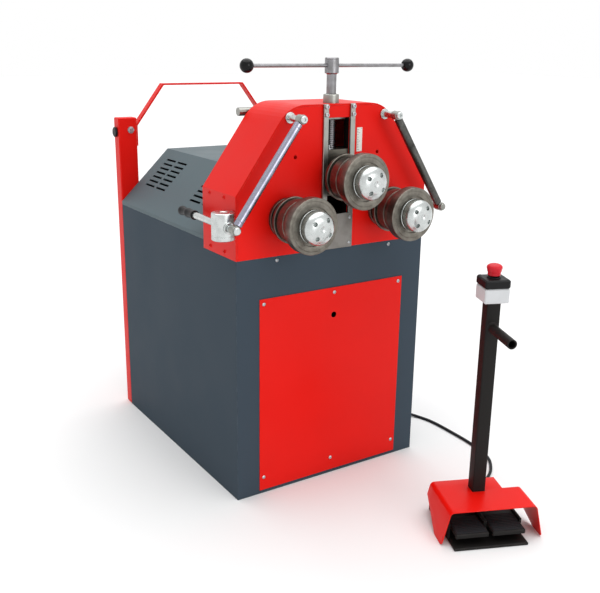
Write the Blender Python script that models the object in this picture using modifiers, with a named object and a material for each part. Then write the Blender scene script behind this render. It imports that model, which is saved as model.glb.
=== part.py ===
"""Three-roller ring bending machine with its foot console, built in metres, +Z up.

The origin is the middle of the cabinet's underside. +X is the machine's right as the
operator faces it from -Y, and the three rollers stand out of the front towards -Y.
"""
import math

import bmesh
import bpy
from mathutils import Matrix, Vector

# General clearances and facet counts
GAP = 0.0003
OVERRUN = 0.01
ROUND_FINE = 28
ROUND_MEDIUM = 16
ROUND_SMALL = 12
ROUND_TINY = 8
ROUND_NUT = 20
ROUND_KNOB = 12
MERGE_DISTANCE = 0.00001
SMOOTH_ANGLE = math.radians(35)

# Cabinet
CABINET_WIDTH = 0.700
CABINET_DEPTH = 0.870
SIDE_HEIGHT = 0.800
SEAT_DROP = 0.026
CABINET_SHEET = 0.004
CABINET_FLANGE = 0.045
FLANGE_SHEET = 0.005
WINDOW_MARGIN = 0.030
ANCHOR_HOLE_RADIUS = 0.008
ANCHOR_HOLE_INSET = 0.060

# Front panel
PANEL_WIDTH = 0.544
PANEL_BOTTOM = 0.012
PANEL_TOP_DROP = 0.126
PANEL_SHEET = 0.002
PANEL_HOLE_RADIUS = 0.010
PANEL_HOLE_DROP = 0.090

# Head casing
HEAD_DEPTH = 0.205
HEAD_RISE = 0.437
SHOULDER_RISE = 0.189
SLOPE_ANGLE = math.radians(54.3)
CROWN_RADIUS = 0.105
CROWN_STEPS = 7
WRAP_SHEET = 0.005
FRONT_PLATE = 0.025
REAR_PLATE = 0.020
PLATE_REAR_SETBACK = 0.003

# Slot, gib strips and lower cover
SLOT_WIDTH = 0.080
SLOT_RISE = 0.397
GIB_WIDTH = 0.017
GIB_THICKNESS = 0.008
GIB_EDGE = 0.0010
SLOT_COVER_RISE = 0.109
GIB_END_GAP = 0.0005
SIGHT_HOLE_RADIUS = 0.006
SIGHT_HOLE_X = 0.150
SIGHT_HOLE_RISE = 0.288

# Roller shafts
LOWER_AXIS_X = 0.181
LOWER_AXIS_RISE = 0.113
UPPER_AXIS_RISE = 0.225
SHAFT_RADIUS = 0.025
JOURNAL_RADIUS = 0.030
SHAFT_CHAMFER = 0.002
NOSE_RADIUS = 0.018
NOSE_LENGTH = 0.022
REAR_JOURNAL_RADIUS = 0.020
REAR_JOURNAL_LENGTH = 0.018
UPPER_TAIL_RADIUS = 0.038
UPPER_TAIL_LENGTH = 0.010

# Front bearing flanges
FLANGE_RADIUS = 0.060
FLANGE_THICKNESS = 0.012
BEARING_BOSS_RADIUS = 0.046
BEARING_BOSS_LENGTH = 0.032
BEARING_CHAMFER = 0.003
BEARING_SPIGOT_RADIUS = 0.045

# Bending rollers, distances along the shaft from the head's front face
ROLLER_START = 0.036
ROLLER_SPLIT = 0.116
ROLLER_END = 0.150
ROLLER_RADIUS = 0.082
COLLAR_RADIUS = 0.070
COLLAR_WIDTH = 0.012
BODY_RADIUS = 0.065
GROOVE_RADIUS = 0.060
GROOVE_WIDTH = 0.006
ROLLER_EDGE = 0.006
ROLLER_EDGE_STEPS = 2
RECESS_RADIUS = 0.056
RECESS_DEPTH = 0.005
NUT_RADIUS = 0.049
NUT_SKIRT = 0.028
NUT_DOME = 0.022
NUT_FACE_RADIUS = 0.018
NUT_DOME_STEPS = 4
NUT_HOLE_RADIUS = 0.006
NUT_HOLE_DEPTH = 0.014
NUT_HOLE_CIRCLE = 0.031
NUT_HOLE_COUNT = 4
NUT_HOLE_ANGLE = math.radians(-35)
NUT_CHAMFER = 0.002

# Ram
RAM_SLIDE_CLEARANCE = 0.0003
RAM_HEEL_WIDTH = 0.120
RAM_HEEL_DEPTH = 0.058
RAM_BELOW_AXIS = 0.060
RAM_ABOVE_AXIS = 0.078
RAM_FACE_SETBACK = 0.002
RAM_COLLAR_RADIUS = 0.048
RAM_NECK_RADIUS = 0.038
RAM_COLLAR_START = 0.0095
RAM_COLLAR_END = 0.0345
RAM_SOCKET_RADIUS = 0.019
RAM_SOCKET_DEPTH = 0.022

# Press screw and its T handle
SCREW_SETBACK = 0.041
SCREW_RADIUS = 0.015
SCREW_FOOT_RADIUS = 0.018
SCREW_FOOT_LENGTH = 0.018
NUT_BLOCK_WIDTH = 0.070
NUT_BLOCK_DEPTH = 0.056
NUT_BLOCK_HEIGHT = 0.0412
NUT_COLLAR_RADIUS = 0.024
NUT_COLLAR_HEIGHT = 0.026
NUT_COLLAR_CHAMFER = 0.004
HUB_RADIUS = 0.021
HUB_HEIGHT = 0.045
HUB_CHAMFER = 0.003
HUB_CLEARANCE = 0.059
TBAR_RADIUS = 0.0055
TBAR_HALF_LENGTH = 0.288
TBAR_BORE_CLEARANCE = 0.0003
BALL_RADIUS = 0.020
BALL_FLAT_SHARE = 0.86
BALL_SOCKET_DEPTH = 0.010
BALL_STEPS = 6

# Gear train
GEAR_MODULE = 0.008
WHEEL_TEETH = 31
PINION_TEETH = 19
PRESSURE_ANGLE = math.radians(20)
TOOTH_THINNING = 0.0004
ADDENDUM_SHARE = 1.0
DEDENDUM_SHARE = 1.25
WHEEL_WIDTH = 0.040
WHEEL_SETBACK = 0.100
PINION_SHAFT_RADIUS = 0.020
PINION_NOSE_LENGTH = 0.020

# Gear motor behind the head
GEARBOX_WIDTH = 0.190
GEARBOX_HEIGHT = 0.170
GEARBOX_DEPTH = 0.200
GEARBOX_EDGE = 0.012
GEARBOX_BORE_DEPTH = 0.060
MOTOR_RADIUS = 0.080
MOTOR_LENGTH = 0.250
MOTOR_COWL_LENGTH = 0.050
MOTOR_COWL_STEP = 0.006

# Side guide rollers
GUIDE_STANDOFF = 0.060
GUIDE_TOP_X = 0.171
GUIDE_TOP_DROP = 0.035
GUIDE_FOOT_LEFT_X = 0.386
GUIDE_FOOT_RIGHT_X = 0.366
GUIDE_FOOT_RISE = 0.108
GUIDE_SLEEVE_RADIUS = 0.0125
GUIDE_AXLE_RADIUS = 0.0080
GUIDE_EYE_RADIUS = 0.0135
GUIDE_EYE_LENGTH = 0.024
GUIDE_PIN_RADIUS = 0.0065
GUIDE_PIN_SHANK = 0.0100
GUIDE_PIN_FLANGE_RADIUS = 0.016
GUIDE_PIN_FLANGE = 0.005
GUIDE_PIN_HEAD_RADIUS = 0.0110
GUIDE_PIN_HEAD = 0.007
GUIDE_PIN_TIP_RADIUS = 0.0090
GUIDE_PIN_CHAMFER = 0.002
SLEEVE_CHAMFER = 0.0012
SLEEVE_END_PLAY = 0.0006

# Left foot barrel with its locking rod, and the right foot block
BARREL_RADIUS = 0.0340
BARREL_HEIGHT = 0.080
BARREL_CHAMFER = 0.004
BARREL_SETBACK = 0.007
BARREL_PAD_THICKNESS = 0.005
BARREL_PAD_HEIGHT = 0.060
BARREL_PAD_LENGTH = 0.052
ROD_TAIL_LENGTH = 0.145
GRIP_LENGTH = 0.092
GRIP_RADIUS = 0.0145
GRIP_WAIST_RADIUS = 0.0125
GRIP_LIP_RADIUS = 0.0145
GRIP_WAIST_LENGTH = 0.022
GRIP_CHAMFER = 0.003
GRIP_EMBED = 0.030
FOOT_BLOCK_HEIGHT = 0.032
FOOT_BLOCK_LENGTH = 0.034
FOOT_BLOCK_EDGE = 0.003

# Hood over the drive
HOOD_RISE = 0.195
HOOD_FLAT_HALF_WIDTH = 0.162
HOOD_SHEET = 0.003
HOOD_LIP = 0.012
LOUVRE_LENGTH = 0.074
LOUVRE_WIDTH = 0.008
LOUVRE_PITCH = 0.020
LOUVRE_ROWS = 7
LOUVRE_COLUMNS = 2
LOUVRE_FIRST_ROW = 0.045
LOUVRE_COLUMN_PITCH = 0.090
LOUVRE_GROUP_STARTS = (-0.160, 0.205)

# Rear posts and the hoop between them
POST_WIDTH = 0.070
POST_DEPTH = 0.045
POST_RISE = 0.313
POST_SHEET = 0.004
POST_EDGE = 0.003
HOOP_WIDTH = 0.030
HOOP_THICKNESS = 0.006
HOOP_FOOT_DROP = 0.103
HOOP_BEND_DROP = 0.028
HOOP_TOP_HALF_WIDTH = 0.168
HOOP_RISE = 0.118

# Lifting bar behind the head
LIFT_BAR_RADIUS = 0.013
LIFT_BAR_HALF_LENGTH = 0.215
LIFT_BAR_DROP = 0.033
LIFT_BAR_STANDOFF = 0.024
LIFT_LUG_X = 0.120
LIFT_LUG_WIDTH = 0.014
LIFT_LUG_HEIGHT = 0.034
LIFT_LUG_EDGE = 0.002

# Foot console, in a frame of its own turned towards the operator
CONSOLE_X = 0.209
CONSOLE_Y = -0.905
CONSOLE_TURN = math.radians(-23)
GUARD_TOP = 0.105
GUARD_SHEET = 0.0025
GUARD_LEFT = -0.124
GUARD_RIGHT = 0.138
GUARD_FRONT = -0.125
GUARD_REAR = 0.057
GUARD_SPLAY = 0.024
GUARD_FOOT_CLEARANCE = 0.001
GUARD_NOTCH_LEFT = 0.078
GUARD_NOTCH_FRONT = -0.010
GUARD_WING_FOOT_LENGTH = 0.060
GUARD_WING_REAR_DROP = 0.040
BASE_LEFT = -0.119
BASE_RIGHT = 0.105
BASE_FRONT = -0.158
BASE_REAR = 0.075
BASE_SHEET = 0.008
CHEEK_THICKNESS = 0.006
CHEEK_HEIGHT = 0.044
CHEEK_FRONT = -0.100
HOUSING_FRONT = -0.004
HOUSING_HEIGHT = 0.060
BASE_EDGE = 0.002
PEDAL_HINGE_Y = -0.018
PEDAL_HINGE_HEIGHT = 0.040
PEDAL_BARREL_RADIUS = 0.0065
PEDAL_FRONT = -0.146
PEDAL_THICKNESS = 0.010
PEDAL_LIP = 0.014
PEDAL_SIDE_PLAY = 0.0008
PEDAL_EDGE = 0.002
PEDAL_PIN_RADIUS = 0.003
PEDAL_PIN_REACH = 0.0040
DIVIDER_X = -0.007
DIVIDER_THICKNESS = 0.010
COLUMN_WIDTH = 0.040
COLUMN_SHEET = 0.003
COLUMN_EDGE = 0.002
COLUMN_TOP = 0.696
PEG_RADIUS = 0.014
PEG_BORE_RADIUS = 0.0105
PEG_BORE_DEPTH = 0.060
PEG_HEIGHT = 0.620
PEG_REACH = 0.155
BOX_WIDTH = 0.072
BOX_HEIGHT = 0.042
BOX_EDGE = 0.003
LID_WIDTH = 0.074
LID_HEIGHT = 0.025
LID_EDGE = 0.004
PLUNGER_RADIUS = 0.011
PLUNGER_LENGTH = 0.016
PLUNGER_COLLAR_RADIUS = 0.014
PLUNGER_TIP_RADIUS = 0.006
BUTTON_TRAVEL = 0.005
MUSHROOM_RADIUS = 0.022
MUSHROOM_HEIGHT = 0.024
MUSHROOM_SKIRT = 0.012
MUSHROOM_DOME_STEPS = 4
MUSHROOM_FOOT_SHARE = 0.86
MUSHROOM_TOP = 0.804
MUSHROOM_SOCKET_DEPTH = 0.008

# Cord and the glands at its two ends
CORD_RADIUS = 0.005
CORD_STEP = 0.024
CORD_ROUND_STEPS = 2
ROUTE_STEPS = 24
GLAND_RADIUS = 0.013
GLAND_NUT_RADIUS = 0.011
GLAND_LENGTH = 0.024
GLAND_TIP_RADIUS = 0.0085
GLAND_SHOULDER = 0.014
GLAND_Y = -0.160
GLAND_HEIGHT = 0.070
RELIEF_RADIUS = 0.009
RELIEF_LENGTH = 0.020
RELIEF_TIP_RADIUS = 0.007
RELIEF_X = 0.050
RELIEF_HEIGHT = 0.022
CORD_ROUTE = (
    (0.395, -0.160, 0.0692),
    (0.420, -0.163, 0.0640),
    (0.458, -0.177, 0.0410),
    (0.500, -0.212, 0.0160),
    (0.536, -0.262, 0.0056),
    (0.552, -0.328, 0.0056),
    (0.554, -0.430, 0.0056),
    (0.549, -0.541, 0.0056),
    (0.528, -0.640, 0.0056),
    (0.485, -0.702, 0.0056),
    (0.430, -0.745, 0.0056),
    (0.368, -0.772, 0.0080),
    (0.322, -0.790, 0.0160),
    (0.3015, -0.815, 0.0218),
)

# Worked out from the driving sizes
FRONT_Y = -CABINET_DEPTH / 2
REAR_Y = CABINET_DEPTH / 2
HALF_WIDTH = CABINET_WIDTH / 2
HEAD_SEAT_HEIGHT = SIDE_HEIGHT - SEAT_DROP
PANEL_TOP = HEAD_SEAT_HEIGHT - PANEL_TOP_DROP
PANEL_HOLE_HEIGHT = PANEL_TOP - PANEL_HOLE_DROP
HEAD_TOP = HEAD_SEAT_HEIGHT + HEAD_RISE
SHOULDER_HEIGHT = HEAD_SEAT_HEIGHT + SHOULDER_RISE
SLOT_TOP = HEAD_SEAT_HEIGHT + SLOT_RISE
SLOT_COVER_TOP = HEAD_SEAT_HEIGHT + SLOT_COVER_RISE
GIB_BOTTOM = SLOT_COVER_TOP + GIB_END_GAP
SIGHT_HOLE_HEIGHT = HEAD_SEAT_HEIGHT + SIGHT_HOLE_RISE
LOWER_AXIS_HEIGHT = HEAD_SEAT_HEIGHT + LOWER_AXIS_RISE
UPPER_AXIS_HEIGHT = HEAD_SEAT_HEIGHT + UPPER_AXIS_RISE
GUIDE_FOOT_HEIGHT = HEAD_SEAT_HEIGHT + GUIDE_FOOT_RISE
GUIDE_TOP_HEIGHT = HEAD_TOP - GUIDE_TOP_DROP
LIFT_BAR_HEIGHT = HEAD_TOP - LIFT_BAR_DROP
HOOD_TOP = SIDE_HEIGHT + HOOD_RISE
POST_TOP = SIDE_HEIGHT + POST_RISE
HOOP_FOOT_HEIGHT = POST_TOP - HOOP_FOOT_DROP
HOOP_BEND_HEIGHT = POST_TOP - HOOP_BEND_DROP
HOOP_TOP = POST_TOP + HOOP_RISE
HEAD_REAR_Y = FRONT_Y + HEAD_DEPTH
PLATE_BACK_Y = FRONT_Y + FRONT_PLATE
REAR_PLATE_BACK_Y = HEAD_REAR_Y - PLATE_REAR_SETBACK
REAR_PLATE_FRONT_Y = REAR_PLATE_BACK_Y - REAR_PLATE
WHEEL_PITCH_RADIUS = GEAR_MODULE * WHEEL_TEETH / 2
PINION_PITCH_RADIUS = GEAR_MODULE * PINION_TEETH / 2
GEAR_CENTRES = WHEEL_PITCH_RADIUS + PINION_PITCH_RADIUS
PINION_HEIGHT = LOWER_AXIS_HEIGHT - math.sqrt(GEAR_CENTRES ** 2 - LOWER_AXIS_X ** 2)
SCREW_Y = FRONT_Y + SCREW_SETBACK
NUT_BLOCK_TOP = HEAD_TOP - WRAP_SHEET - GAP
NUT_BLOCK_BOTTOM = NUT_BLOCK_TOP - NUT_BLOCK_HEIGHT
HUB_UNDERSIDE = HEAD_TOP + NUT_COLLAR_HEIGHT + HUB_CLEARANCE
GUIDE_Y = FRONT_Y - GUIDE_STANDOFF
BOX_BOTTOM = COLUMN_TOP + GAP
LID_BOTTOM = BOX_BOTTOM + BOX_HEIGHT + GAP
LID_TOP = LID_BOTTOM + LID_HEIGHT

ORIGIN = (0, 0, 0)
UPRIGHT = (0, 0, 0)
FACING_FRONT = (math.pi / 2, 0, 0)
FACING_REAR = (-math.pi / 2, 0, 0)
FACING_RIGHT = (0, math.pi / 2, 0)


def clear_scene():
    """Empty the file of objects, so that the script can be run again."""
    for old in list(bpy.data.objects):
        bpy.data.objects.remove(old, do_unlink=True)


def new_collection(name):
    """Make a collection under the scene."""
    collection = bpy.data.collections.new(name)
    bpy.context.scene.collection.children.link(collection)
    return collection


clear_scene()
PARTS = new_collection("ring_roller")
TOOLS = new_collection("cutters")


def make_material(name, hex_colour, roughness, metallic):
    """Give a plain Principled material with an sRGB colour."""
    def to_linear(value):
        if value <= 0.04045:
            return value / 12.92
        return ((value + 0.055) / 1.055) ** 2.4
    channels = [int(hex_colour[i:i + 2], 16) / 255 for i in (0, 2, 4)]
    colour = [to_linear(value) for value in channels] + [1.0]
    material = bpy.data.materials.new(name)
    material.use_nodes = True
    shader = material.node_tree.nodes["Principled BSDF"]
    shader.inputs["Base Color"].default_value = colour
    shader.inputs["Roughness"].default_value = roughness
    shader.inputs["Metallic"].default_value = metallic
    material.diffuse_color = colour
    return material


FINISHES = {
    "slate_paint": ("48545E", 0.45, 0.0),
    "red_paint": ("DC231B", 0.40, 0.0),
    "roller_steel": ("6E6A62", 0.38, 1.0),
    "bright_steel": ("B8BCC2", 0.25, 1.0),
    "chrome": ("D8DADC", 0.12, 1.0),
    "gear_steel": ("7C7F82", 0.45, 1.0),
    "black_plastic": ("1B1B1D", 0.45, 0.0),
    "black_paint": ("282424", 0.50, 0.0),
    "grey_plastic": ("D7D9DC", 0.50, 0.0),
    "red_plastic": ("D42A24", 0.35, 0.0),
    "cord_rubber": ("202022", 0.60, 0.0),
    "cast_iron": ("55585A", 0.70, 0.3),
}


def finish(kind, name):
    """Make the material of one named piece from its kind of finish."""
    return make_material(name + "_" + kind, *FINISHES[kind])


def empty(name, location, rotation=UPRIGHT, parent=None):
    """Add an axis marker that carries the pieces of one moving group."""
    marker = bpy.data.objects.new(name, None)
    marker.location = location
    marker.rotation_euler = rotation
    marker.parent = parent
    PARTS.objects.link(marker)
    return marker


def add_object(name, mesh, kind=None, location=ORIGIN, rotation=UPRIGHT, parent=None):
    """Link a mesh as a named part, or as a hidden cutter when it has no finish."""
    item = bpy.data.objects.new(name, mesh)
    item.location = location
    item.rotation_euler = rotation
    item.parent = parent
    if kind is None:
        TOOLS.objects.link(item)
        item.hide_render = True
        item.display_type = "WIRE"
    else:
        PARTS.objects.link(item)
        mesh.materials.clear()
        mesh.materials.append(finish(kind, name))
    return item


def mesh_from(bm, name):
    """Turn a bmesh into a mesh and free it."""
    mesh = bpy.data.meshes.new(name)
    bm.to_mesh(mesh)
    bm.free()
    return mesh


def add_box(bm, low, high):
    """Add a box between two opposite corners."""
    low, high = Vector(low), Vector(high)
    size = high - low
    place = Matrix.Translation((low + high) / 2) @ Matrix.Diagonal((*size, 1))
    bmesh.ops.create_cube(bm, size=1, matrix=place)


def add_rod(bm, radius, start, end, segments=ROUND_MEDIUM, end_radius=None):
    """Add a round bar between two points."""
    start, end = Vector(start), Vector(end)
    direction = end - start
    turn = direction.to_track_quat("Z", "Y").to_matrix().to_4x4()
    place = Matrix.Translation((start + end) / 2) @ turn
    top = radius if end_radius is None else end_radius
    bmesh.ops.create_cone(bm, cap_ends=True, segments=segments, radius1=radius,
                          radius2=top, depth=direction.length, matrix=place)


def box(name, low, high, kind=None, parent=None, bevel=0):
    """A box part or cutter between two corners, with rounded edges if asked."""
    bm = bmesh.new()
    add_box(bm, low, high)
    item = add_object(name, mesh_from(bm, name), kind, parent=parent)
    if bevel:
        round_edges(item, bevel)
    return item


def rod(name, radius, start, end, kind=None, parent=None, segments=ROUND_MEDIUM):
    """A round bar part or cutter between two points."""
    bm = bmesh.new()
    add_rod(bm, radius, start, end, segments)
    item = add_object(name, mesh_from(bm, name), kind, parent=parent)
    shade_round(item)
    return item


def side_prism(name, outline, low_x, high_x, kind=None, parent=None):
    """A part or cutter with an outline in Y and Z, drawn out along X."""
    bm = bmesh.new()
    left = [bm.verts.new((low_x, along, up)) for along, up in outline]
    right = [bm.verts.new((high_x, along, up)) for along, up in outline]
    bm.faces.new(left)
    bm.faces.new(right)
    for index, near in enumerate(left):
        bm.faces.new((left[index - 1], near, right[index], right[index - 1]))
    bmesh.ops.recalc_face_normals(bm, faces=bm.faces)
    return add_object(name, mesh_from(bm, name), kind, parent=parent)


def shade_round(item):
    """Shade a round piece smooth up to its real edges."""
    item.data.shade_smooth()
    item.data.set_sharp_from_angle(angle=SMOOTH_ANGLE)


def round_edges(item, width, segments=1):
    """Bevel every sharp edge of a piece."""
    bevel = item.modifiers.new("rounded_edges", "BEVEL")
    bevel.width = width
    bevel.segments = segments
    bevel.limit_method = "ANGLE"
    bevel.angle_limit = SMOOTH_ANGLE


def combine(item, tool, operation):
    """Cut a tool out of a piece, or fuse it to the piece."""
    boolean = item.modifiers.new(operation.lower() + "_" + tool.name, "BOOLEAN")
    boolean.operation = operation
    boolean.solver = "EXACT"
    boolean.object = tool
    return item


def cut(item, tool):
    """Cut a tool out of a piece."""
    return combine(item, tool, "DIFFERENCE")


def fuse(item, tool):
    """Fuse a tool to a piece."""
    return combine(item, tool, "UNION")


def turned(name, profile, kind=None, location=ORIGIN, rotation=UPRIGHT, parent=None,
           segments=ROUND_FINE, closed=False):
    """Turn a profile of (radius, height) points about Z; closed profiles have a bore."""
    bm = bmesh.new()
    ring = [bm.verts.new((radius, 0, height)) for radius, height in profile]
    for first, second in zip(ring, ring[1:]):
        bm.edges.new((first, second))
    if closed:
        bm.edges.new((ring[-1], ring[0]))
    item = add_object(name, mesh_from(bm, name), kind, location, rotation, parent)
    screw = item.modifiers.new("turning", "SCREW")
    screw.axis = "Z"
    screw.angle = math.tau
    screw.steps = segments
    screw.render_steps = segments
    screw.use_merge_vertices = True
    screw.merge_threshold = MERGE_DISTANCE
    screw.use_smooth_shade = True
    return item


def running(radius, segments):
    """Radius of a faceted bore whose flats stay clear of a turning shaft."""
    return (radius + GAP) / math.cos(math.pi / segments)


def circle(radius, across=0, up=0, segments=ROUND_MEDIUM):
    """Points of a round hole about a place in a flat outline."""
    angles = [math.tau * index / segments for index in range(segments)]
    return [(across + radius * math.cos(angle), up + radius * math.sin(angle))
            for angle in angles]


def outline_plate(name, points, thickness, kind=None, location=ORIGIN, parent=None,
                  rotation=FACING_FRONT, holes=()):
    """A flat plate with holes, cut to an outline in X and Z, centred on its location."""
    curve = bpy.data.curves.new(name, "CURVE")
    curve.dimensions = "2D"
    curve.fill_mode = "BOTH"
    curve.extrude = thickness / 2
    for line in [points, *holes]:
        spline = curve.splines.new("POLY")
        spline.points.add(len(line) - 1)
        for point, (across, up) in zip(spline.points, line):
            point.co = (across, up, 0, 1)
        spline.use_cyclic_u = True
    flat = bpy.data.objects.new(name + "_outline", curve)
    TOOLS.objects.link(flat)
    mesh = solid_of(flat, name)
    return add_object(name, mesh, kind, location, rotation, parent)


def solid_of(item, name):
    """Read a curve object as a closed mesh, and remove the curve."""
    bpy.context.view_layer.update()
    evaluated = item.evaluated_get(bpy.context.evaluated_depsgraph_get())
    mesh = bpy.data.meshes.new_from_object(evaluated)
    mesh.name = name
    bm = bmesh.new()
    bm.from_mesh(mesh)
    bmesh.ops.remove_doubles(bm, verts=bm.verts, dist=MERGE_DISTANCE)
    bmesh.ops.recalc_face_normals(bm, faces=bm.faces)
    bm.to_mesh(mesh)
    bm.free()
    bpy.data.objects.remove(item, do_unlink=True)
    return mesh


def sheet(name, path, low_y, high_y, thickness, kind, parent=None, offset=-1):
    """A bent sheet: a path in X and Z swept along Y and thickened inwards."""
    bm = bmesh.new()
    ring = [bm.verts.new((across, low_y, up)) for across, up in path]
    edges = [bm.edges.new(pair) for pair in zip(ring, ring[1:])]
    swept = bmesh.ops.extrude_edge_only(bm, edges=edges)["geom"]
    moved = [part for part in swept if isinstance(part, bmesh.types.BMVert)]
    bmesh.ops.translate(bm, verts=moved, vec=(0, high_y - low_y, 0))
    bmesh.ops.recalc_face_normals(bm, faces=bm.faces)
    item = add_object(name, mesh_from(bm, name), kind, parent=parent)
    thicken(item, thickness, offset)
    return item


def thicken(item, thickness, offset=-1):
    """Thicken an open surface with even walls."""
    solidify = item.modifiers.new("sheet_thickness", "SOLIDIFY")
    solidify.thickness = thickness
    solidify.offset = offset
    solidify.use_even_offset = True
    return item


def head_outline(inset, bottom):
    """Outline of the head, drawn in by an inset: sides, shoulders, slopes and crown."""
    half = HALF_WIDTH - inset
    rise = inset * (1 - math.sin(SLOPE_ANGLE)) * math.tan(SLOPE_ANGLE)
    shoulder = SHOULDER_HEIGHT - inset * math.cos(SLOPE_ANGLE) + rise
    top = HEAD_TOP - inset
    radius = CROWN_RADIUS - inset
    corner_x = -half + (top - shoulder) / math.tan(SLOPE_ANGLE)
    centre_x = corner_x + radius * math.tan(SLOPE_ANGLE / 2)
    left = [(-half, bottom), (-half, shoulder)]
    for step in range(CROWN_STEPS + 1):
        angle = math.pi / 2 + SLOPE_ANGLE * (1 - step / CROWN_STEPS)
        left.append((centre_x + radius * math.cos(angle),
                     top - radius + radius * math.sin(angle)))
    right = [(-across, up) for across, up in reversed(left)]
    return left + right


def build_cabinet():
    """Welded cabinet: a sheet box with a top flange, a stepped front top and holes."""
    bm = bmesh.new()
    add_box(bm, (-HALF_WIDTH, FRONT_Y, 0), (HALF_WIDTH, REAR_Y, SIDE_HEIGHT))
    lid = [face for face in bm.faces if face.normal.z > 0 and face.calc_center_median().z > 0]
    bmesh.ops.delete(bm, geom=lid, context="FACES_ONLY")
    shell = add_object("cabinet_shell", mesh_from(bm, "cabinet_shell"), "slate_paint")
    thicken(shell, CABINET_SHEET)
    step = box("head_step_cutter", (-HALF_WIDTH - OVERRUN, FRONT_Y - OVERRUN, HEAD_SEAT_HEIGHT),
               (HALF_WIDTH + OVERRUN, HEAD_REAR_Y, SIDE_HEIGHT + OVERRUN))
    cut(shell, step)
    wall = CABINET_SHEET / 2
    flange_top = HEAD_SEAT_HEIGHT - GAP
    flange_low = flange_top - FLANGE_SHEET
    flange = box("top_flange_tool", (-HALF_WIDTH + wall, FRONT_Y + wall, flange_low),
                 (HALF_WIDTH - wall, REAR_Y - wall, flange_top))
    reach = CABINET_SHEET + CABINET_FLANGE
    opening = box("top_opening_cutter",
                  (-HALF_WIDTH + reach, FRONT_Y + reach, flange_low - OVERRUN),
                  (HALF_WIDTH - reach, REAR_Y - reach, flange_top + OVERRUN))
    fuse(shell, cut(flange, opening))
    half_window = PANEL_WIDTH / 2 - WINDOW_MARGIN
    window = box("window_cutter",
                 (-half_window, FRONT_Y - OVERRUN, PANEL_BOTTOM + WINDOW_MARGIN),
                 (half_window, FRONT_Y + CABINET_SHEET + OVERRUN, PANEL_TOP - WINDOW_MARGIN))
    cut(shell, window)
    bm = bmesh.new()
    for side in (-1, 1):
        for end in (-1, 1):
            across = side * (HALF_WIDTH - ANCHOR_HOLE_INSET)
            along = end * (REAR_Y - ANCHOR_HOLE_INSET)
            add_rod(bm, ANCHOR_HOLE_RADIUS, (across, along, -OVERRUN),
                    (across, along, CABINET_SHEET + OVERRUN), ROUND_SMALL)
    add_rod(bm, GLAND_NUT_RADIUS, (HALF_WIDTH - CABINET_SHEET - OVERRUN, GLAND_Y, GLAND_HEIGHT),
            (HALF_WIDTH + OVERRUN, GLAND_Y, GLAND_HEIGHT), ROUND_SMALL)
    holes = add_object("cabinet_hole_cutters", mesh_from(bm, "cabinet_hole_cutters"))
    cut(shell, holes)


def build_front_panel():
    """Screwed-on front panel with one round hole high in its middle."""
    half = PANEL_WIDTH / 2
    outer = FRONT_Y - GAP - PANEL_SHEET
    panel = box("front_panel", (-half, outer, PANEL_BOTTOM),
                (half, FRONT_Y - GAP, PANEL_TOP), "red_paint")
    hole = rod("panel_hole_cutter", PANEL_HOLE_RADIUS, (0, outer - OVERRUN, PANEL_HOLE_HEIGHT),
               (0, FRONT_Y + OVERRUN, PANEL_HOLE_HEIGHT), segments=ROUND_SMALL)
    cut(panel, hole)


def hood_path(inset):
    """Path of the hood's sheet in X and Z: lip, slope, flat roof, slope, lip."""
    low = SIDE_HEIGHT + GAP
    left = [(-HALF_WIDTH + inset, low), (-HALF_WIDTH + inset, low + HOOD_LIP),
            (-HOOD_FLAT_HALF_WIDTH, HOOD_TOP - inset)]
    return left + [(-across, up) for across, up in reversed(left)]


def build_hood():
    """Sheet hood over the drive, with rows of louvre slots down both slopes."""
    front = HEAD_REAR_Y + GAP
    hood = sheet("drive_hood", hood_path(0), front, REAR_Y, HOOD_SHEET, "slate_paint")
    end_wall = outline_plate("hood_end_tool", hood_path(HOOD_SHEET / 2), HOOD_SHEET,
                             location=(0, REAR_Y - HOOD_SHEET, 0))
    fuse(hood, end_wall)
    eave = Vector((HALF_WIDTH, SIDE_HEIGHT + GAP + HOOD_LIP))
    ridge = Vector((HOOD_FLAT_HALF_WIDTH, HOOD_TOP))
    down = (eave - ridge).normalized()
    tilt = math.atan2(-down.y, down.x)
    bm = bmesh.new()
    for side in (-1, 1):
        for start in LOUVRE_GROUP_STARTS:
            for column in range(LOUVRE_COLUMNS):
                for row in range(LOUVRE_ROWS):
                    at = ridge + down * (LOUVRE_FIRST_ROW + row * LOUVRE_PITCH)
                    along = start + column * LOUVRE_COLUMN_PITCH + LOUVRE_LENGTH / 2
                    turn = Matrix.Rotation(side * tilt, 4, "Y")
                    size = Matrix.Diagonal((LOUVRE_WIDTH, LOUVRE_LENGTH, OVERRUN, 1))
                    place = Matrix.Translation((side * at.x, along, at.y)) @ turn @ size
                    bmesh.ops.create_cube(bm, size=1, matrix=place)
    slots = add_object("louvre_cutters", mesh_from(bm, "louvre_cutters"))
    cut(hood, slots)


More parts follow.
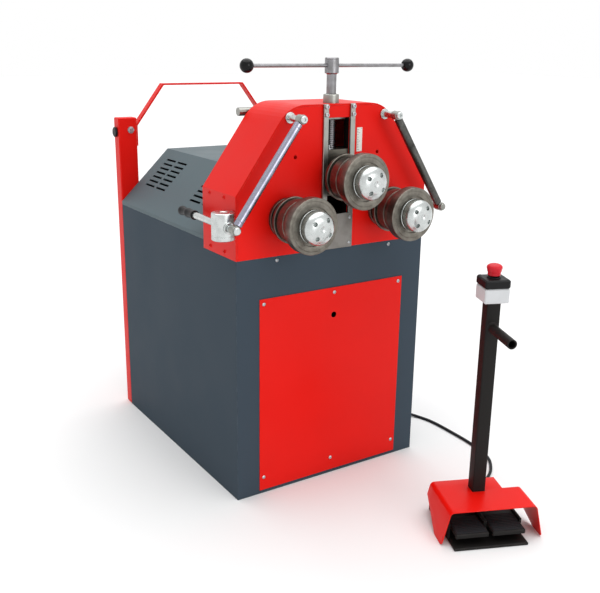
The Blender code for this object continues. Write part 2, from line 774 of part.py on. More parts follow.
def build_head():
    """Head casing: bent cover, slotted front plate and rear plate."""
    foot = HEAD_SEAT_HEIGHT + GAP
    wrap = sheet("head_cover", head_outline(0, foot), FRONT_Y, HEAD_REAR_Y, WRAP_SHEET, "red_paint")
    cut(wrap, rod("collar_hole_cutter", NUT_COLLAR_RADIUS + GAP,
                  (0, SCREW_Y, HEAD_TOP - CROWN_RADIUS / 2), (0, SCREW_Y, HEAD_TOP + OVERRUN)))
    edge = SLOT_WIDTH / 2
    outline = head_outline(WRAP_SHEET + GAP, foot)
    slotted = outline + [(edge, foot), (edge, SLOT_TOP), (-edge, SLOT_TOP), (-edge, foot)]
    holes = []
    for side in (-1, 1):
        holes.append(circle(BEARING_SPIGOT_RADIUS + GAP, side * LOWER_AXIS_X, LOWER_AXIS_HEIGHT))
        holes.append(circle(SIGHT_HOLE_RADIUS, side * SIGHT_HOLE_X, SIGHT_HOLE_HEIGHT, ROUND_TINY))
    front = outline_plate("head_front_plate", slotted, FRONT_PLATE, "red_paint",
                          (0, FRONT_Y + FRONT_PLATE / 2, 0), holes=holes)
    half_block = NUT_BLOCK_WIDTH / 2 + GAP
    cut(front, box("nut_pocket_cutter",
                   (-half_block, SCREW_Y - NUT_BLOCK_DEPTH / 2 - GAP, NUT_BLOCK_BOTTOM - GAP),
                   (half_block, PLATE_BACK_Y + OVERRUN, HEAD_TOP + OVERRUN)))
    bore = running(REAR_JOURNAL_RADIUS, ROUND_MEDIUM)
    holes = [circle(bore, side * LOWER_AXIS_X, LOWER_AXIS_HEIGHT) for side in (-1, 1)]
    holes.append(circle(running(PINION_SHAFT_RADIUS, ROUND_MEDIUM), 0, PINION_HEIGHT))
    outline_plate("head_rear_plate", outline, REAR_PLATE, "red_paint",
                  (0, REAR_PLATE_BACK_Y - REAR_PLATE / 2, 0), holes=holes)


def build_slot_strips():
    """Steel gib strips beside the slot, and the plate that closes its lower end."""
    edge = SLOT_WIDTH / 2
    face = FRONT_Y - GAP - GIB_THICKNESS
    back = FRONT_Y - GAP
    for side, name in ((-1, "gib_strip_left"), (1, "gib_strip_right")):
        inner, outer = sorted((side * edge, side * (edge + GIB_WIDTH)))
        box(name, (inner, face, GIB_BOTTOM), (outer, back, HEAD_TOP),
            "bright_steel", bevel=GIB_EDGE)
    box("slot_cover", (-edge - GIB_WIDTH, face, HEAD_SEAT_HEIGHT + GAP),
        (edge + GIB_WIDTH, back, SLOT_COVER_TOP), "bright_steel", bevel=GIB_EDGE)


def build_screw_nut():
    """Nut block of the press screw, with its collar standing out of the head's top."""
    half = NUT_BLOCK_WIDTH / 2
    deep = NUT_BLOCK_DEPTH / 2
    block = box("screw_nut", (-half, SCREW_Y - deep, NUT_BLOCK_BOTTOM),
                (half, SCREW_Y + deep, NUT_BLOCK_TOP), "bright_steel")
    top = HEAD_TOP + NUT_COLLAR_HEIGHT
    collar = turned("nut_collar_tool",
                    [(0, top), (NUT_COLLAR_RADIUS - NUT_COLLAR_CHAMFER, top),
                     (NUT_COLLAR_RADIUS, top - NUT_COLLAR_CHAMFER),
                     (NUT_COLLAR_RADIUS, NUT_BLOCK_TOP - OVERRUN), (0, NUT_BLOCK_TOP - OVERRUN)],
                    location=(0, SCREW_Y, 0), segments=ROUND_MEDIUM)
    fuse(block, collar)
    bore = rod("nut_bore_cutter", running(SCREW_RADIUS, ROUND_MEDIUM),
               (0, SCREW_Y, NUT_BLOCK_BOTTOM - OVERRUN), (0, SCREW_Y, top + OVERRUN))
    cut(block, bore)


def build_bearing_flange(name, side):
    """Bolted bearing flange of one lower shaft, on the head's front face."""
    bore = running(JOURNAL_RADIUS, ROUND_MEDIUM)
    shoulder = GAP + FLANGE_THICKNESS
    profile = [(BEARING_BOSS_RADIUS - BEARING_CHAMFER, BEARING_BOSS_LENGTH),
               (BEARING_BOSS_RADIUS, BEARING_BOSS_LENGTH - BEARING_CHAMFER),
               (BEARING_BOSS_RADIUS, shoulder), (FLANGE_RADIUS, shoulder), (FLANGE_RADIUS, GAP),
               (BEARING_SPIGOT_RADIUS, GAP), (BEARING_SPIGOT_RADIUS, -FRONT_PLATE),
               (bore, -FRONT_PLATE), (bore, BEARING_BOSS_LENGTH)]
    turned(name, profile, "roller_steel", (side * LOWER_AXIS_X, FRONT_Y, LOWER_AXIS_HEIGHT),
           FACING_FRONT, segments=ROUND_MEDIUM, closed=True)


def shaft_nose():
    """Front end of a roller shaft: a threaded nose and the seat of the rollers."""
    seat_end = ROLLER_END - RECESS_DEPTH
    nose_end = seat_end + NOSE_LENGTH
    return [(0, nose_end), (NOSE_RADIUS - SHAFT_CHAMFER, nose_end),
            (NOSE_RADIUS, nose_end - SHAFT_CHAMFER), (NOSE_RADIUS, seat_end - GAP),
            (SHAFT_RADIUS, seat_end - GAP), (SHAFT_RADIUS, ROLLER_START - GAP),
            (JOURNAL_RADIUS, ROLLER_START - GAP)]


def build_lower_shaft(name, group):
    """Driven shaft: journal in the front flange, wheel seat, journal in the rear plate."""
    step = -(FRONT_PLATE + BEARING_CHAMFER)
    rear_face = FRONT_Y - REAR_PLATE_FRONT_Y
    tail = rear_face - REAR_JOURNAL_LENGTH
    seat = rear_face + GAP
    profile = shaft_nose() + [(JOURNAL_RADIUS, step), (SHAFT_RADIUS, step),
                              (SHAFT_RADIUS, seat), (REAR_JOURNAL_RADIUS, seat),
                              (REAR_JOURNAL_RADIUS, tail), (0, tail)]
    turned(name, profile, "gear_steel", parent=group, segments=ROUND_MEDIUM)


def build_upper_shaft(group):
    """Idle shaft: a journal in the ram and a collar that holds it from behind."""
    ram_back = -(FRONT_PLATE + GAP + RAM_HEEL_DEPTH)
    collar_front = ram_back - GAP
    collar_back = collar_front - UPPER_TAIL_LENGTH
    profile = shaft_nose() + [(JOURNAL_RADIUS, collar_front), (UPPER_TAIL_RADIUS, collar_front),
                              (UPPER_TAIL_RADIUS, collar_back), (0, collar_back)]
    turned("upper_shaft", profile, "gear_steel", parent=group, segments=ROUND_MEDIUM)


def build_roller(prefix, group):
    """One bending roller: a collared inner ring, a rounded outer ring and a domed nut."""
    bore = SHAFT_RADIUS + GAP
    collar_end = ROLLER_START + COLLAR_WIDTH
    groove_end = collar_end + GROOVE_WIDTH
    inner = [(BODY_RADIUS, ROLLER_SPLIT), (BODY_RADIUS, groove_end),
             (GROOVE_RADIUS, groove_end), (GROOVE_RADIUS, collar_end),
             (COLLAR_RADIUS, collar_end), (COLLAR_RADIUS, ROLLER_START + SHAFT_CHAMFER),
             (COLLAR_RADIUS - SHAFT_CHAMFER, ROLLER_START), (bore, ROLLER_START),
             (bore, ROLLER_SPLIT)]
    turned(prefix + "_inner_ring", inner, "roller_steel", parent=group, closed=True)

    back = ROLLER_SPLIT + GAP
    outer = [(RECESS_RADIUS, ROLLER_END), (ROLLER_RADIUS - SHAFT_CHAMFER, ROLLER_END),
             (ROLLER_RADIUS, ROLLER_END - SHAFT_CHAMFER)]
    for step in range(ROLLER_EDGE_STEPS + 1):
        angle = math.pi / 2 * step / ROLLER_EDGE_STEPS
        outer.append((ROLLER_RADIUS - ROLLER_EDGE * (1 - math.cos(angle)),
                      back + ROLLER_EDGE * (1 - math.sin(angle))))
    seat = ROLLER_END - RECESS_DEPTH
    outer += [(bore, back), (bore, seat), (RECESS_RADIUS, seat)]
    turned(prefix + "_outer_ring", outer, "roller_steel", parent=group, closed=True)
    build_dome_nut(prefix + "_dome_nut", group, seat + GAP)


def build_dome_nut(name, group, base):
    """Domed nut with a blind bore and two pin-spanner holes in its face."""
    skirt_top = base + NUT_SKIRT
    bore = NOSE_RADIUS + GAP
    bore_end = base + NOSE_LENGTH + GAP
    profile = [(0, skirt_top + NUT_DOME)]
    for step in range(NUT_DOME_STEPS + 1):
        angle = math.pi / 2 * (1 - step / NUT_DOME_STEPS)
        profile.append((NUT_FACE_RADIUS + (NUT_RADIUS - NUT_FACE_RADIUS) * math.cos(angle),
                        skirt_top + NUT_DOME * math.sin(angle)))
    profile += [(NUT_RADIUS, base + NUT_CHAMFER), (NUT_RADIUS - NUT_CHAMFER, base),
                (bore, base), (bore, bore_end), (0, bore_end)]
    nut = turned(name, profile, "chrome", parent=group, segments=ROUND_NUT)
    bm = bmesh.new()
    for turn in range(NUT_HOLE_COUNT):
        angle = NUT_HOLE_ANGLE + math.tau * turn / NUT_HOLE_COUNT
        across = NUT_HOLE_CIRCLE * math.cos(angle)
        up = NUT_HOLE_CIRCLE * math.sin(angle)
        add_rod(bm, NUT_HOLE_RADIUS, (across, up, skirt_top + NUT_DOME - NUT_HOLE_DEPTH),
                (across, up, skirt_top + NUT_DOME + OVERRUN), ROUND_TINY)
    cutters = add_object(name + "_hole_cutters", mesh_from(bm, name + "_hole_cutters"),
                         parent=group)
    cut(nut, cutters)


def build_ram(group):
    """Ram in the slot: front tongue, wide heel behind the plate, and the bearing neck."""
    low, high = -RAM_BELOW_AXIS, RAM_ABOVE_AXIS
    tongue = SLOT_WIDTH / 2 - RAM_SLIDE_CLEARANCE
    heel_front = FRONT_PLATE + GAP
    heel_back = heel_front + RAM_HEEL_DEPTH
    ram = box("ram_block", (-RAM_HEEL_WIDTH / 2, heel_front, low),
              (RAM_HEEL_WIDTH / 2, heel_back, high), "roller_steel", parent=group)
    fuse(ram, box("ram_tongue_tool", (-tongue, RAM_FACE_SETBACK, low),
                  (tongue, heel_front + OVERRUN, high), parent=group))
    bm = bmesh.new()
    add_rod(bm, RAM_NECK_RADIUS, (0, heel_front, 0), (0, -RAM_COLLAR_START - OVERRUN, 0))
    neck = add_object("ram_neck_tool", mesh_from(bm, "ram_neck_tool"), parent=group)
    fuse(ram, neck)
    fuse(ram, rod("ram_collar_tool", RAM_COLLAR_RADIUS, (0, -RAM_COLLAR_START, 0),
                  (0, -RAM_COLLAR_END, 0), parent=group))
    cut(ram, rod("ram_bore_cutter", running(JOURNAL_RADIUS, ROUND_MEDIUM),
                 (0, -RAM_COLLAR_END - OVERRUN, 0), (0, heel_back + OVERRUN, 0), parent=group))
    cut(ram, rod("screw_socket_cutter", RAM_SOCKET_RADIUS,
                 (0, SCREW_SETBACK, high - RAM_SOCKET_DEPTH),
                 (0, SCREW_SETBACK, high + OVERRUN), parent=group))


def build_press_screw(group):
    """Press screw with its hub, and the T handle with two ball knobs."""
    foot = RAM_ABOVE_AXIS - RAM_SOCKET_DEPTH + GAP
    foot_top = foot + SCREW_FOOT_LENGTH
    under = HUB_UNDERSIDE - UPPER_AXIS_HEIGHT
    top = under + HUB_HEIGHT
    profile = [(0, top), (HUB_RADIUS - HUB_CHAMFER, top), (HUB_RADIUS, top - HUB_CHAMFER),
               (HUB_RADIUS, under + HUB_CHAMFER), (HUB_RADIUS - HUB_CHAMFER, under),
               (SCREW_RADIUS, under), (SCREW_RADIUS, foot_top), (SCREW_FOOT_RADIUS, foot_top),
               (SCREW_FOOT_RADIUS, foot), (0, foot)]
    screw = turned("press_screw", profile, "bright_steel", parent=group, segments=ROUND_MEDIUM)
    middle = (under + top) / 2
    reach = HUB_RADIUS + OVERRUN
    cut(screw, rod("tbar_hole_cutter", TBAR_RADIUS + TBAR_BORE_CLEARANCE, (-reach, 0, middle),
                   (reach, 0, middle), parent=group, segments=ROUND_SMALL))
    ball_face = BALL_RADIUS * BALL_FLAT_SHARE
    bar_end = TBAR_HALF_LENGTH - ball_face + BALL_SOCKET_DEPTH - GAP
    rod("handle_bar", TBAR_RADIUS, (-bar_end, 0, middle), (bar_end, 0, middle),
        "bright_steel", group, ROUND_SMALL)
    flat_radius = math.sqrt(BALL_RADIUS ** 2 - ball_face ** 2)
    bore = TBAR_RADIUS + GAP
    arc_end = math.atan2(-ball_face, flat_radius)
    ball = []
    for step in range(BALL_STEPS + 1):
        angle = math.pi / 2 + (arc_end - math.pi / 2) * step / BALL_STEPS
        radius = 0 if step == 0 else BALL_RADIUS * math.cos(angle)
        ball.append((radius, BALL_RADIUS * math.sin(angle)))
    ball += [(bore, -ball_face), (bore, BALL_SOCKET_DEPTH - ball_face),
             (0, BALL_SOCKET_DEPTH - ball_face)]
    for side, name in ((-1, "ball_knob_left"), (1, "ball_knob_right")):
        turned(name, ball, "black_plastic", (side * TBAR_HALF_LENGTH, 0, middle),
               (0, side * math.pi / 2, 0), group, ROUND_KNOB)


def involute(angle):
    """The involute of an angle."""
    return math.tan(angle) - angle


def gear_outline(teeth, phase):
    """Involute gear outline with thinned teeth, the first tooth centred on the phase."""
    pitch = GEAR_MODULE * teeth / 2
    base = pitch * math.cos(PRESSURE_ANGLE)
    root = pitch - DEDENDUM_SHARE * GEAR_MODULE
    tip = pitch + ADDENDUM_SHARE * GEAR_MODULE
    half_pitch = math.pi / (2 * teeth) - TOOTH_THINNING / pitch
    flank = []
    for radius in (root, pitch, tip):
        pressure = math.acos(min(1.0, base / max(radius, base)))
        flank.append((radius, half_pitch + involute(PRESSURE_ANGLE) - involute(pressure)))
    points = []
    for tooth in range(teeth):
        centre = phase + math.tau * tooth / teeth
        sides = [(radius, centre - half) for radius, half in flank]
        sides += [(radius, centre + half) for radius, half in reversed(flank)]
        points += [(radius * math.cos(angle), radius * math.sin(angle)) for radius, angle in sides]
    return points


def mesh_phase(driver_teeth, driver_phase, bearing_angle, teeth):
    """Phase that puts a gear's gap over the driver's tooth on the line between them."""
    step = math.tau / driver_teeth
    turns = (driver_phase - bearing_angle) / step
    offset = turns - round(turns)
    own_step = math.tau / teeth
    return bearing_angle + math.pi - offset * own_step - own_step / 2


def build_wheel(name, group, phase):
    """Drive wheel bored for its lower shaft."""
    outline_plate(name, gear_outline(WHEEL_TEETH, phase), WHEEL_WIDTH, "gear_steel",
                  (0, 0, -WHEEL_SETBACK - WHEEL_WIDTH / 2), group, UPRIGHT,
                  [circle(SHAFT_RADIUS + GAP)])


def build_pinion(group, phase):
    """Drive pinion on its shaft, overhung from the gearbox."""
    middle = -(WHEEL_SETBACK + WHEEL_WIDTH / 2)
    pinion = outline_plate("drive_pinion", gear_outline(PINION_TEETH, phase), WHEEL_WIDTH,
                           "gear_steel", (0, 0, middle), group, UPRIGHT)
    gearbox_face = FRONT_Y - REAR_PLATE_BACK_Y - GAP
    front = middle + WHEEL_WIDTH / 2 + PINION_NOSE_LENGTH
    back = gearbox_face - GEARBOX_BORE_DEPTH + GAP
    fuse(pinion, rod("pinion_shaft_tool", PINION_SHAFT_RADIUS, (0, 0, front), (0, 0, back),
                     parent=group))


def build_gear_motor():
    """Gearbox flanged to the head's rear plate, with its motor behind."""
    front = REAR_PLATE_BACK_Y + GAP
    back = front + GEARBOX_DEPTH
    half_high = GEARBOX_HEIGHT / 2
    gearbox = box("gear_motor", (-GEARBOX_WIDTH / 2, front, PINION_HEIGHT - half_high),
                  (GEARBOX_WIDTH / 2, back, PINION_HEIGHT + half_high), "cast_iron",
                  bevel=GEARBOX_EDGE)
    motor_end = back + MOTOR_LENGTH
    fuse(gearbox, rod("motor_tool", MOTOR_RADIUS, (0, back - OVERRUN, PINION_HEIGHT),
                      (0, motor_end, PINION_HEIGHT)))
    cowl = MOTOR_RADIUS + MOTOR_COWL_STEP
    fuse(gearbox, rod("motor_cowl_tool", cowl, (0, motor_end - MOTOR_COWL_LENGTH, PINION_HEIGHT),
                      (0, motor_end + MOTOR_COWL_STEP, PINION_HEIGHT)))
    cut(gearbox, rod("gearbox_bore_cutter", running(PINION_SHAFT_RADIUS, ROUND_MEDIUM),
                     (0, front - OVERRUN, PINION_HEIGHT),
                     (0, front + GEARBOX_BORE_DEPTH, PINION_HEIGHT)))


def pin_front():
    """Front end of a guide pin: its head, and the part that passes through the eye."""
    eye_front = GUIDE_STANDOFF + GUIDE_EYE_LENGTH / 2 + GAP
    eye_back = GUIDE_STANDOFF - GUIDE_EYE_LENGTH / 2 - GAP
    tip = eye_front + GUIDE_PIN_HEAD
    return [(0, tip), (GUIDE_PIN_TIP_RADIUS, tip),
            (GUIDE_PIN_HEAD_RADIUS, tip - GUIDE_PIN_CHAMFER), (GUIDE_PIN_HEAD_RADIUS, eye_front),
            (GUIDE_PIN_RADIUS, eye_front), (GUIDE_PIN_RADIUS, eye_back),
            (GUIDE_PIN_SHANK, eye_back)]


def build_top_pin(name, side):
    """Pin that holds a guide's upper eye off the head's front face."""
    flange = GAP + GUIDE_PIN_FLANGE
    profile = pin_front() + [(GUIDE_PIN_SHANK, flange), (GUIDE_PIN_FLANGE_RADIUS, flange),
                             (GUIDE_PIN_FLANGE_RADIUS, GAP), (0, GAP)]
    turned(name, profile, "bright_steel", (side * GUIDE_TOP_X, FRONT_Y, GUIDE_TOP_HEIGHT),
           FACING_FRONT, segments=ROUND_KNOB)


def build_right_foot():
    """Block on the head's right side with the pin of the right guide's lower eye."""
    half_high = FOOT_BLOCK_HEIGHT / 2
    block = box("guide_foot_right", (HALF_WIDTH + GAP, FRONT_Y, GUIDE_FOOT_HEIGHT - half_high),
                (GUIDE_FOOT_RIGHT_X + FOOT_BLOCK_LENGTH / 2, FRONT_Y + FOOT_BLOCK_LENGTH,
                 GUIDE_FOOT_HEIGHT + half_high), "bright_steel", bevel=FOOT_BLOCK_EDGE)
    root = -FOOT_BLOCK_LENGTH / 2
    profile = pin_front() + [(GUIDE_PIN_SHANK, root), (0, root)]
    fuse(block, turned("foot_pin_tool", profile, segments=ROUND_KNOB, rotation=FACING_FRONT,
                       location=(GUIDE_FOOT_RIGHT_X, FRONT_Y, GUIDE_FOOT_HEIGHT)))


def build_left_foot(group):
    """Cross-bored barrel on the head's left side, with the locking rod and its grip."""
    centre_y = FRONT_Y + BARREL_SETBACK
    low = GUIDE_FOOT_HEIGHT - BARREL_HEIGHT / 2
    high = GUIDE_FOOT_HEIGHT + BARREL_HEIGHT / 2
    profile = [(0, high), (BARREL_RADIUS - BARREL_CHAMFER, high),
               (BARREL_RADIUS, high - BARREL_CHAMFER), (BARREL_RADIUS, low + BARREL_CHAMFER),
               (BARREL_RADIUS - BARREL_CHAMFER, low), (0, low)]
    barrel = turned("guide_foot_left", profile, "chrome", (-GUIDE_FOOT_LEFT_X, centre_y, 0),
                    segments=ROUND_MEDIUM)
    wall = -HALF_WIDTH - GAP
    half_high = BARREL_PAD_HEIGHT / 2
    fuse(barrel, box("barrel_pad_tool",
                     (wall - BARREL_PAD_THICKNESS, FRONT_Y, GUIDE_FOOT_HEIGHT - half_high),
                     (wall, FRONT_Y + BARREL_PAD_LENGTH, GUIDE_FOOT_HEIGHT + half_high)))
    reach = BARREL_RADIUS + OVERRUN
    cut(barrel, rod("barrel_bore_cutter", running(GUIDE_PIN_SHANK, ROUND_MEDIUM),
                    (-GUIDE_FOOT_LEFT_X, centre_y - reach, GUIDE_FOOT_HEIGHT),
                    (-GUIDE_FOOT_LEFT_X, centre_y + reach, GUIDE_FOOT_HEIGHT)))
    grip_front = -(BARREL_SETBACK + BARREL_RADIUS + ROD_TAIL_LENGTH)
    tail = grip_front - GRIP_EMBED
    turned("lock_rod", pin_front() + [(GUIDE_PIN_SHANK, tail), (0, tail)], "bright_steel",
           parent=group, segments=ROUND_KNOB)
    bore = GUIDE_PIN_SHANK + GAP
    grip_back = grip_front - GRIP_LENGTH
    waist = grip_front - GRIP_WAIST_LENGTH
    profile = [(0, tail - GAP), (bore, tail - GAP), (bore, grip_front),
               (GRIP_LIP_RADIUS, grip_front), (GRIP_LIP_RADIUS, grip_front - GRIP_CHAMFER),
               (GRIP_WAIST_RADIUS, waist), (GRIP_RADIUS, grip_back + GRIP_WAIST_LENGTH),
               (GRIP_RADIUS, grip_back + GRIP_CHAMFER), (GRIP_RADIUS - GRIP_CHAMFER, grip_back),
               (0, grip_back)]
    turned("lock_grip", profile, "black_plastic", parent=group, segments=ROUND_KNOB)


def build_guide(side, foot_x, label):
    """One inclined side guide: an axle between two eyes and the sleeve that turns on it."""
    foot = Vector((side * foot_x, GUIDE_Y, GUIDE_FOOT_HEIGHT))
    top = Vector((side * GUIDE_TOP_X, GUIDE_Y, GUIDE_TOP_HEIGHT))
    line = top - foot
    length = line.length
    group = empty("guide_axis_" + label, foot, (0, math.atan2(line.x, line.z), 0))
    axle = rod("guide_axle_" + label, GUIDE_AXLE_RADIUS, (0, 0, 0), (0, 0, length),
               "bright_steel", group, ROUND_SMALL)
    half = GUIDE_EYE_LENGTH / 2
    for end, height in (("foot", 0), ("top", length)):
        fuse(axle, rod("guide_eye_tool_" + end + "_" + label, GUIDE_EYE_RADIUS,
                       (0, -half, height), (0, half, height), parent=group))
    bm = bmesh.new()
    for height in (0, length):
        add_rod(bm, running(GUIDE_PIN_RADIUS, ROUND_SMALL), (0, -half - OVERRUN, height),
                (0, half + OVERRUN, height), ROUND_SMALL)
    bores = add_object("guide_bore_cutters_" + label, mesh_from(bm, "guide_bore_cutters"),
                       parent=group)
    cut(axle, bores)
    low = GUIDE_EYE_RADIUS + SLEEVE_END_PLAY
    high = length - low
    bore = running(GUIDE_AXLE_RADIUS, ROUND_MEDIUM)
    edge = GUIDE_SLEEVE_RADIUS - SLEEVE_CHAMFER
    profile = [(edge, high), (GUIDE_SLEEVE_RADIUS, high - SLEEVE_CHAMFER),
               (GUIDE_SLEEVE_RADIUS, low + SLEEVE_CHAMFER), (edge, low), (bore, low), (bore, high)]
    turned("guide_sleeve_" + label, profile, "bright_steel", parent=group,
           segments=ROUND_MEDIUM, closed=True)


def build_rear_frame():
    """Two full-height posts behind the cabinet, and the flat-bar hoop between them."""
    front = REAR_Y + GAP
    inner = HALF_WIDTH - POST_WIDTH
    for side, label in ((-1, "left"), (1, "right")):
        low_x, high_x = sorted((side * HALF_WIDTH, side * inner))
        post = box("rear_post_" + label, (low_x, front, 0), (high_x, front + POST_DEPTH, POST_TOP),
                   "red_paint", bevel=POST_EDGE)
        cut(post, box("post_bore_cutter_" + label,
                      (low_x + POST_SHEET, front + POST_SHEET, -OVERRUN),
                      (high_x - POST_SHEET, front + POST_DEPTH - POST_SHEET,
                       POST_TOP - POST_SHEET)))
    half = inner - GAP
    left = [(-half, HOOP_FOOT_HEIGHT), (-half, HOOP_BEND_HEIGHT), (-HOOP_TOP_HALF_WIDTH, HOOP_TOP)]
    path = left + [(-across, up) for across, up in reversed(left)]
    middle = front + POST_DEPTH / 2
    sheet("rear_hoop", path, middle - HOOP_WIDTH / 2, middle + HOOP_WIDTH / 2, HOOP_THICKNESS,
          "red_paint")


def build_lifting_bar():
    """Round lifting bar carried by two lugs on the head's rear plate."""
    centre_y = REAR_PLATE_BACK_Y + LIFT_BAR_STANDOFF
    bar = rod("lifting_bar", LIFT_BAR_RADIUS, (-LIFT_BAR_HALF_LENGTH, centre_y, LIFT_BAR_HEIGHT),
              (LIFT_BAR_HALF_LENGTH, centre_y, LIFT_BAR_HEIGHT), "gear_steel",
              segments=ROUND_KNOB)
    for side, label in ((-1, "left"), (1, "right")):
        middle = side * LIFT_LUG_X
        fuse(bar, box("lug_tool_" + label,
                      (middle - LIFT_LUG_WIDTH / 2, REAR_PLATE_BACK_Y + GAP,
                       LIFT_BAR_HEIGHT - LIFT_LUG_HEIGHT / 2),
                      (middle + LIFT_LUG_WIDTH / 2, centre_y + LIFT_BAR_RADIUS / 2,
                       LIFT_BAR_HEIGHT + LIFT_LUG_HEIGHT / 2), bevel=LIFT_LUG_EDGE))


def build_console_base(group):
    """Base plate of the foot console with its cheeks, divider and rear housing."""
    inside = BASE_SHEET / 2
    base = box("console_base", (BASE_LEFT, BASE_FRONT, 0), (BASE_RIGHT, BASE_REAR, BASE_SHEET),
               "black_paint", group, BASE_EDGE)
    cheeks = (("left", BASE_LEFT, BASE_LEFT + CHEEK_THICKNESS),
              ("middle", DIVIDER_X - DIVIDER_THICKNESS / 2, DIVIDER_X + DIVIDER_THICKNESS / 2),
              ("right", BASE_RIGHT - CHEEK_THICKNESS, BASE_RIGHT))
    for label, low_x, high_x in cheeks:
        fuse(base, box("cheek_tool_" + label, (low_x, CHEEK_FRONT, inside),
                       (high_x, HOUSING_FRONT + BASE_EDGE, CHEEK_HEIGHT + BASE_SHEET),
                       parent=group))
    fuse(base, box("housing_tool", (BASE_LEFT, HOUSING_FRONT, inside),
                   (BASE_RIGHT, BASE_REAR, HOUSING_HEIGHT), parent=group, bevel=BASE_EDGE))
    cut(base, rod("pedal_pin_cutter", running(PEDAL_PIN_RADIUS, ROUND_SMALL),
                  (BASE_LEFT - OVERRUN, PEDAL_HINGE_Y, PEDAL_HINGE_HEIGHT),
                  (BASE_RIGHT + OVERRUN, PEDAL_HINGE_Y, PEDAL_HINGE_HEIGHT),
                  parent=group, segments=ROUND_SMALL))


def build_console_guard(group):
    """Bent sheet guard over the pedals, open at the front and notched at the right rear."""
    path = [(GUARD_LEFT - GUARD_SPLAY, GUARD_FOOT_CLEARANCE), (GUARD_LEFT, GUARD_TOP),
            (GUARD_RIGHT, GUARD_TOP), (GUARD_RIGHT + GUARD_SPLAY, GUARD_FOOT_CLEARANCE)]
    guard = sheet("console_guard", path, GUARD_FRONT, GUARD_REAR, GUARD_SHEET, "red_paint",
                  group)
    far = GUARD_RIGHT + GUARD_SPLAY + OVERRUN
    cut(guard, box("guard_notch_cutter",
                   (GUARD_NOTCH_LEFT, GUARD_NOTCH_FRONT, -OVERRUN),
                   (far, GUARD_REAR + OVERRUN, GUARD_TOP + OVERRUN), parent=group))
    foot_end = GUARD_FRONT + GUARD_WING_FOOT_LENGTH
    corner = GUARD_TOP - GUARD_WING_REAR_DROP
    slant = (corner - GUARD_FOOT_CLEARANCE) / (GUARD_REAR - foot_end)
    wedge = [(foot_end - OVERRUN, GUARD_FOOT_CLEARANCE - slant * OVERRUN),
             (GUARD_REAR + OVERRUN, corner + slant * OVERRUN),
             (GUARD_REAR + OVERRUN, -OVERRUN - slant * OVERRUN)]
    cut(guard, side_prism("guard_wing_cutter", wedge, -far, far, parent=group))
    half = COLUMN_WIDTH / 2 + GAP
    cut(guard, box("guard_column_cutter", (-half, -half, GUARD_TOP - OVERRUN),
                   (half, half, GUARD_TOP + OVERRUN), parent=group))


def build_pedal(group, name, low_x, high_x):
    """Pedal hinged between two cheeks of the console, with a lip at its front."""
    low_x, high_x = low_x + PEDAL_SIDE_PLAY, high_x - PEDAL_SIDE_PLAY
    top = PEDAL_THICKNESS / 2
    front = PEDAL_FRONT - PEDAL_HINGE_Y
    outline = [(front, top), (0, top), (0, -top), (front + PEDAL_THICKNESS, -top),
               (front + PEDAL_THICKNESS, top - PEDAL_LIP), (front, top - PEDAL_LIP)]
    pedal = side_prism(name, outline, low_x, high_x, "black_paint", group)
    round_edges(pedal, PEDAL_EDGE)
    fuse(pedal, rod(name + "_barrel_tool", PEDAL_BARREL_RADIUS, (low_x + PEDAL_EDGE, 0, 0),
                    (high_x - PEDAL_EDGE, 0, 0), parent=group, segments=ROUND_KNOB))
    reach = PEDAL_SIDE_PLAY + PEDAL_PIN_REACH
    fuse(pedal, rod(name + "_pin_tool", PEDAL_PIN_RADIUS, (low_x - reach, 0, 0),
                    (high_x + reach, 0, 0), parent=group, segments=ROUND_SMALL))


def build_console_column(group):
    """Square tube column with the round carrying peg welded to its front."""
    half = COLUMN_WIDTH / 2
    column = box("console_column", (-half, -half, HOUSING_HEIGHT + GAP),
                 (half, half, COLUMN_TOP), "black_paint", group, COLUMN_EDGE)
    fuse(column, rod("peg_tool", PEG_RADIUS, (0, 0, PEG_HEIGHT), (0, -PEG_REACH, PEG_HEIGHT),
                     parent=group, segments=ROUND_KNOB))
    inner = half - COLUMN_SHEET
    cut(column, box("column_bore_cutter", (-inner, -inner, HOUSING_HEIGHT - OVERRUN),
                    (inner, inner, COLUMN_TOP + OVERRUN), parent=group))
    cut(column, rod("peg_bore_cutter", PEG_BORE_RADIUS,
                    (0, -PEG_REACH + PEG_BORE_DEPTH, PEG_HEIGHT),
                    (0, -PEG_REACH - OVERRUN, PEG_HEIGHT), parent=group, segments=ROUND_KNOB))


def build_stop_box(group):
    """Switch box on the column, and its lid with the bore of the plunger."""
    half = BOX_WIDTH / 2
    box("stop_box", (-half, -half, BOX_BOTTOM), (half, half, BOX_BOTTOM + BOX_HEIGHT),
        "grey_plastic", group, BOX_EDGE)
    half = LID_WIDTH / 2
    lid = box("stop_lid", (-half, -half, LID_BOTTOM), (half, half, LID_TOP), "black_plastic",
              group, LID_EDGE)
    bore_end = LID_TOP - PLUNGER_LENGTH - BUTTON_TRAVEL - GAP
    cut(lid, rod("plunger_bore_cutter", running(PLUNGER_RADIUS, ROUND_MEDIUM),
                 (0, 0, bore_end), (0, 0, LID_TOP + OVERRUN), parent=group))


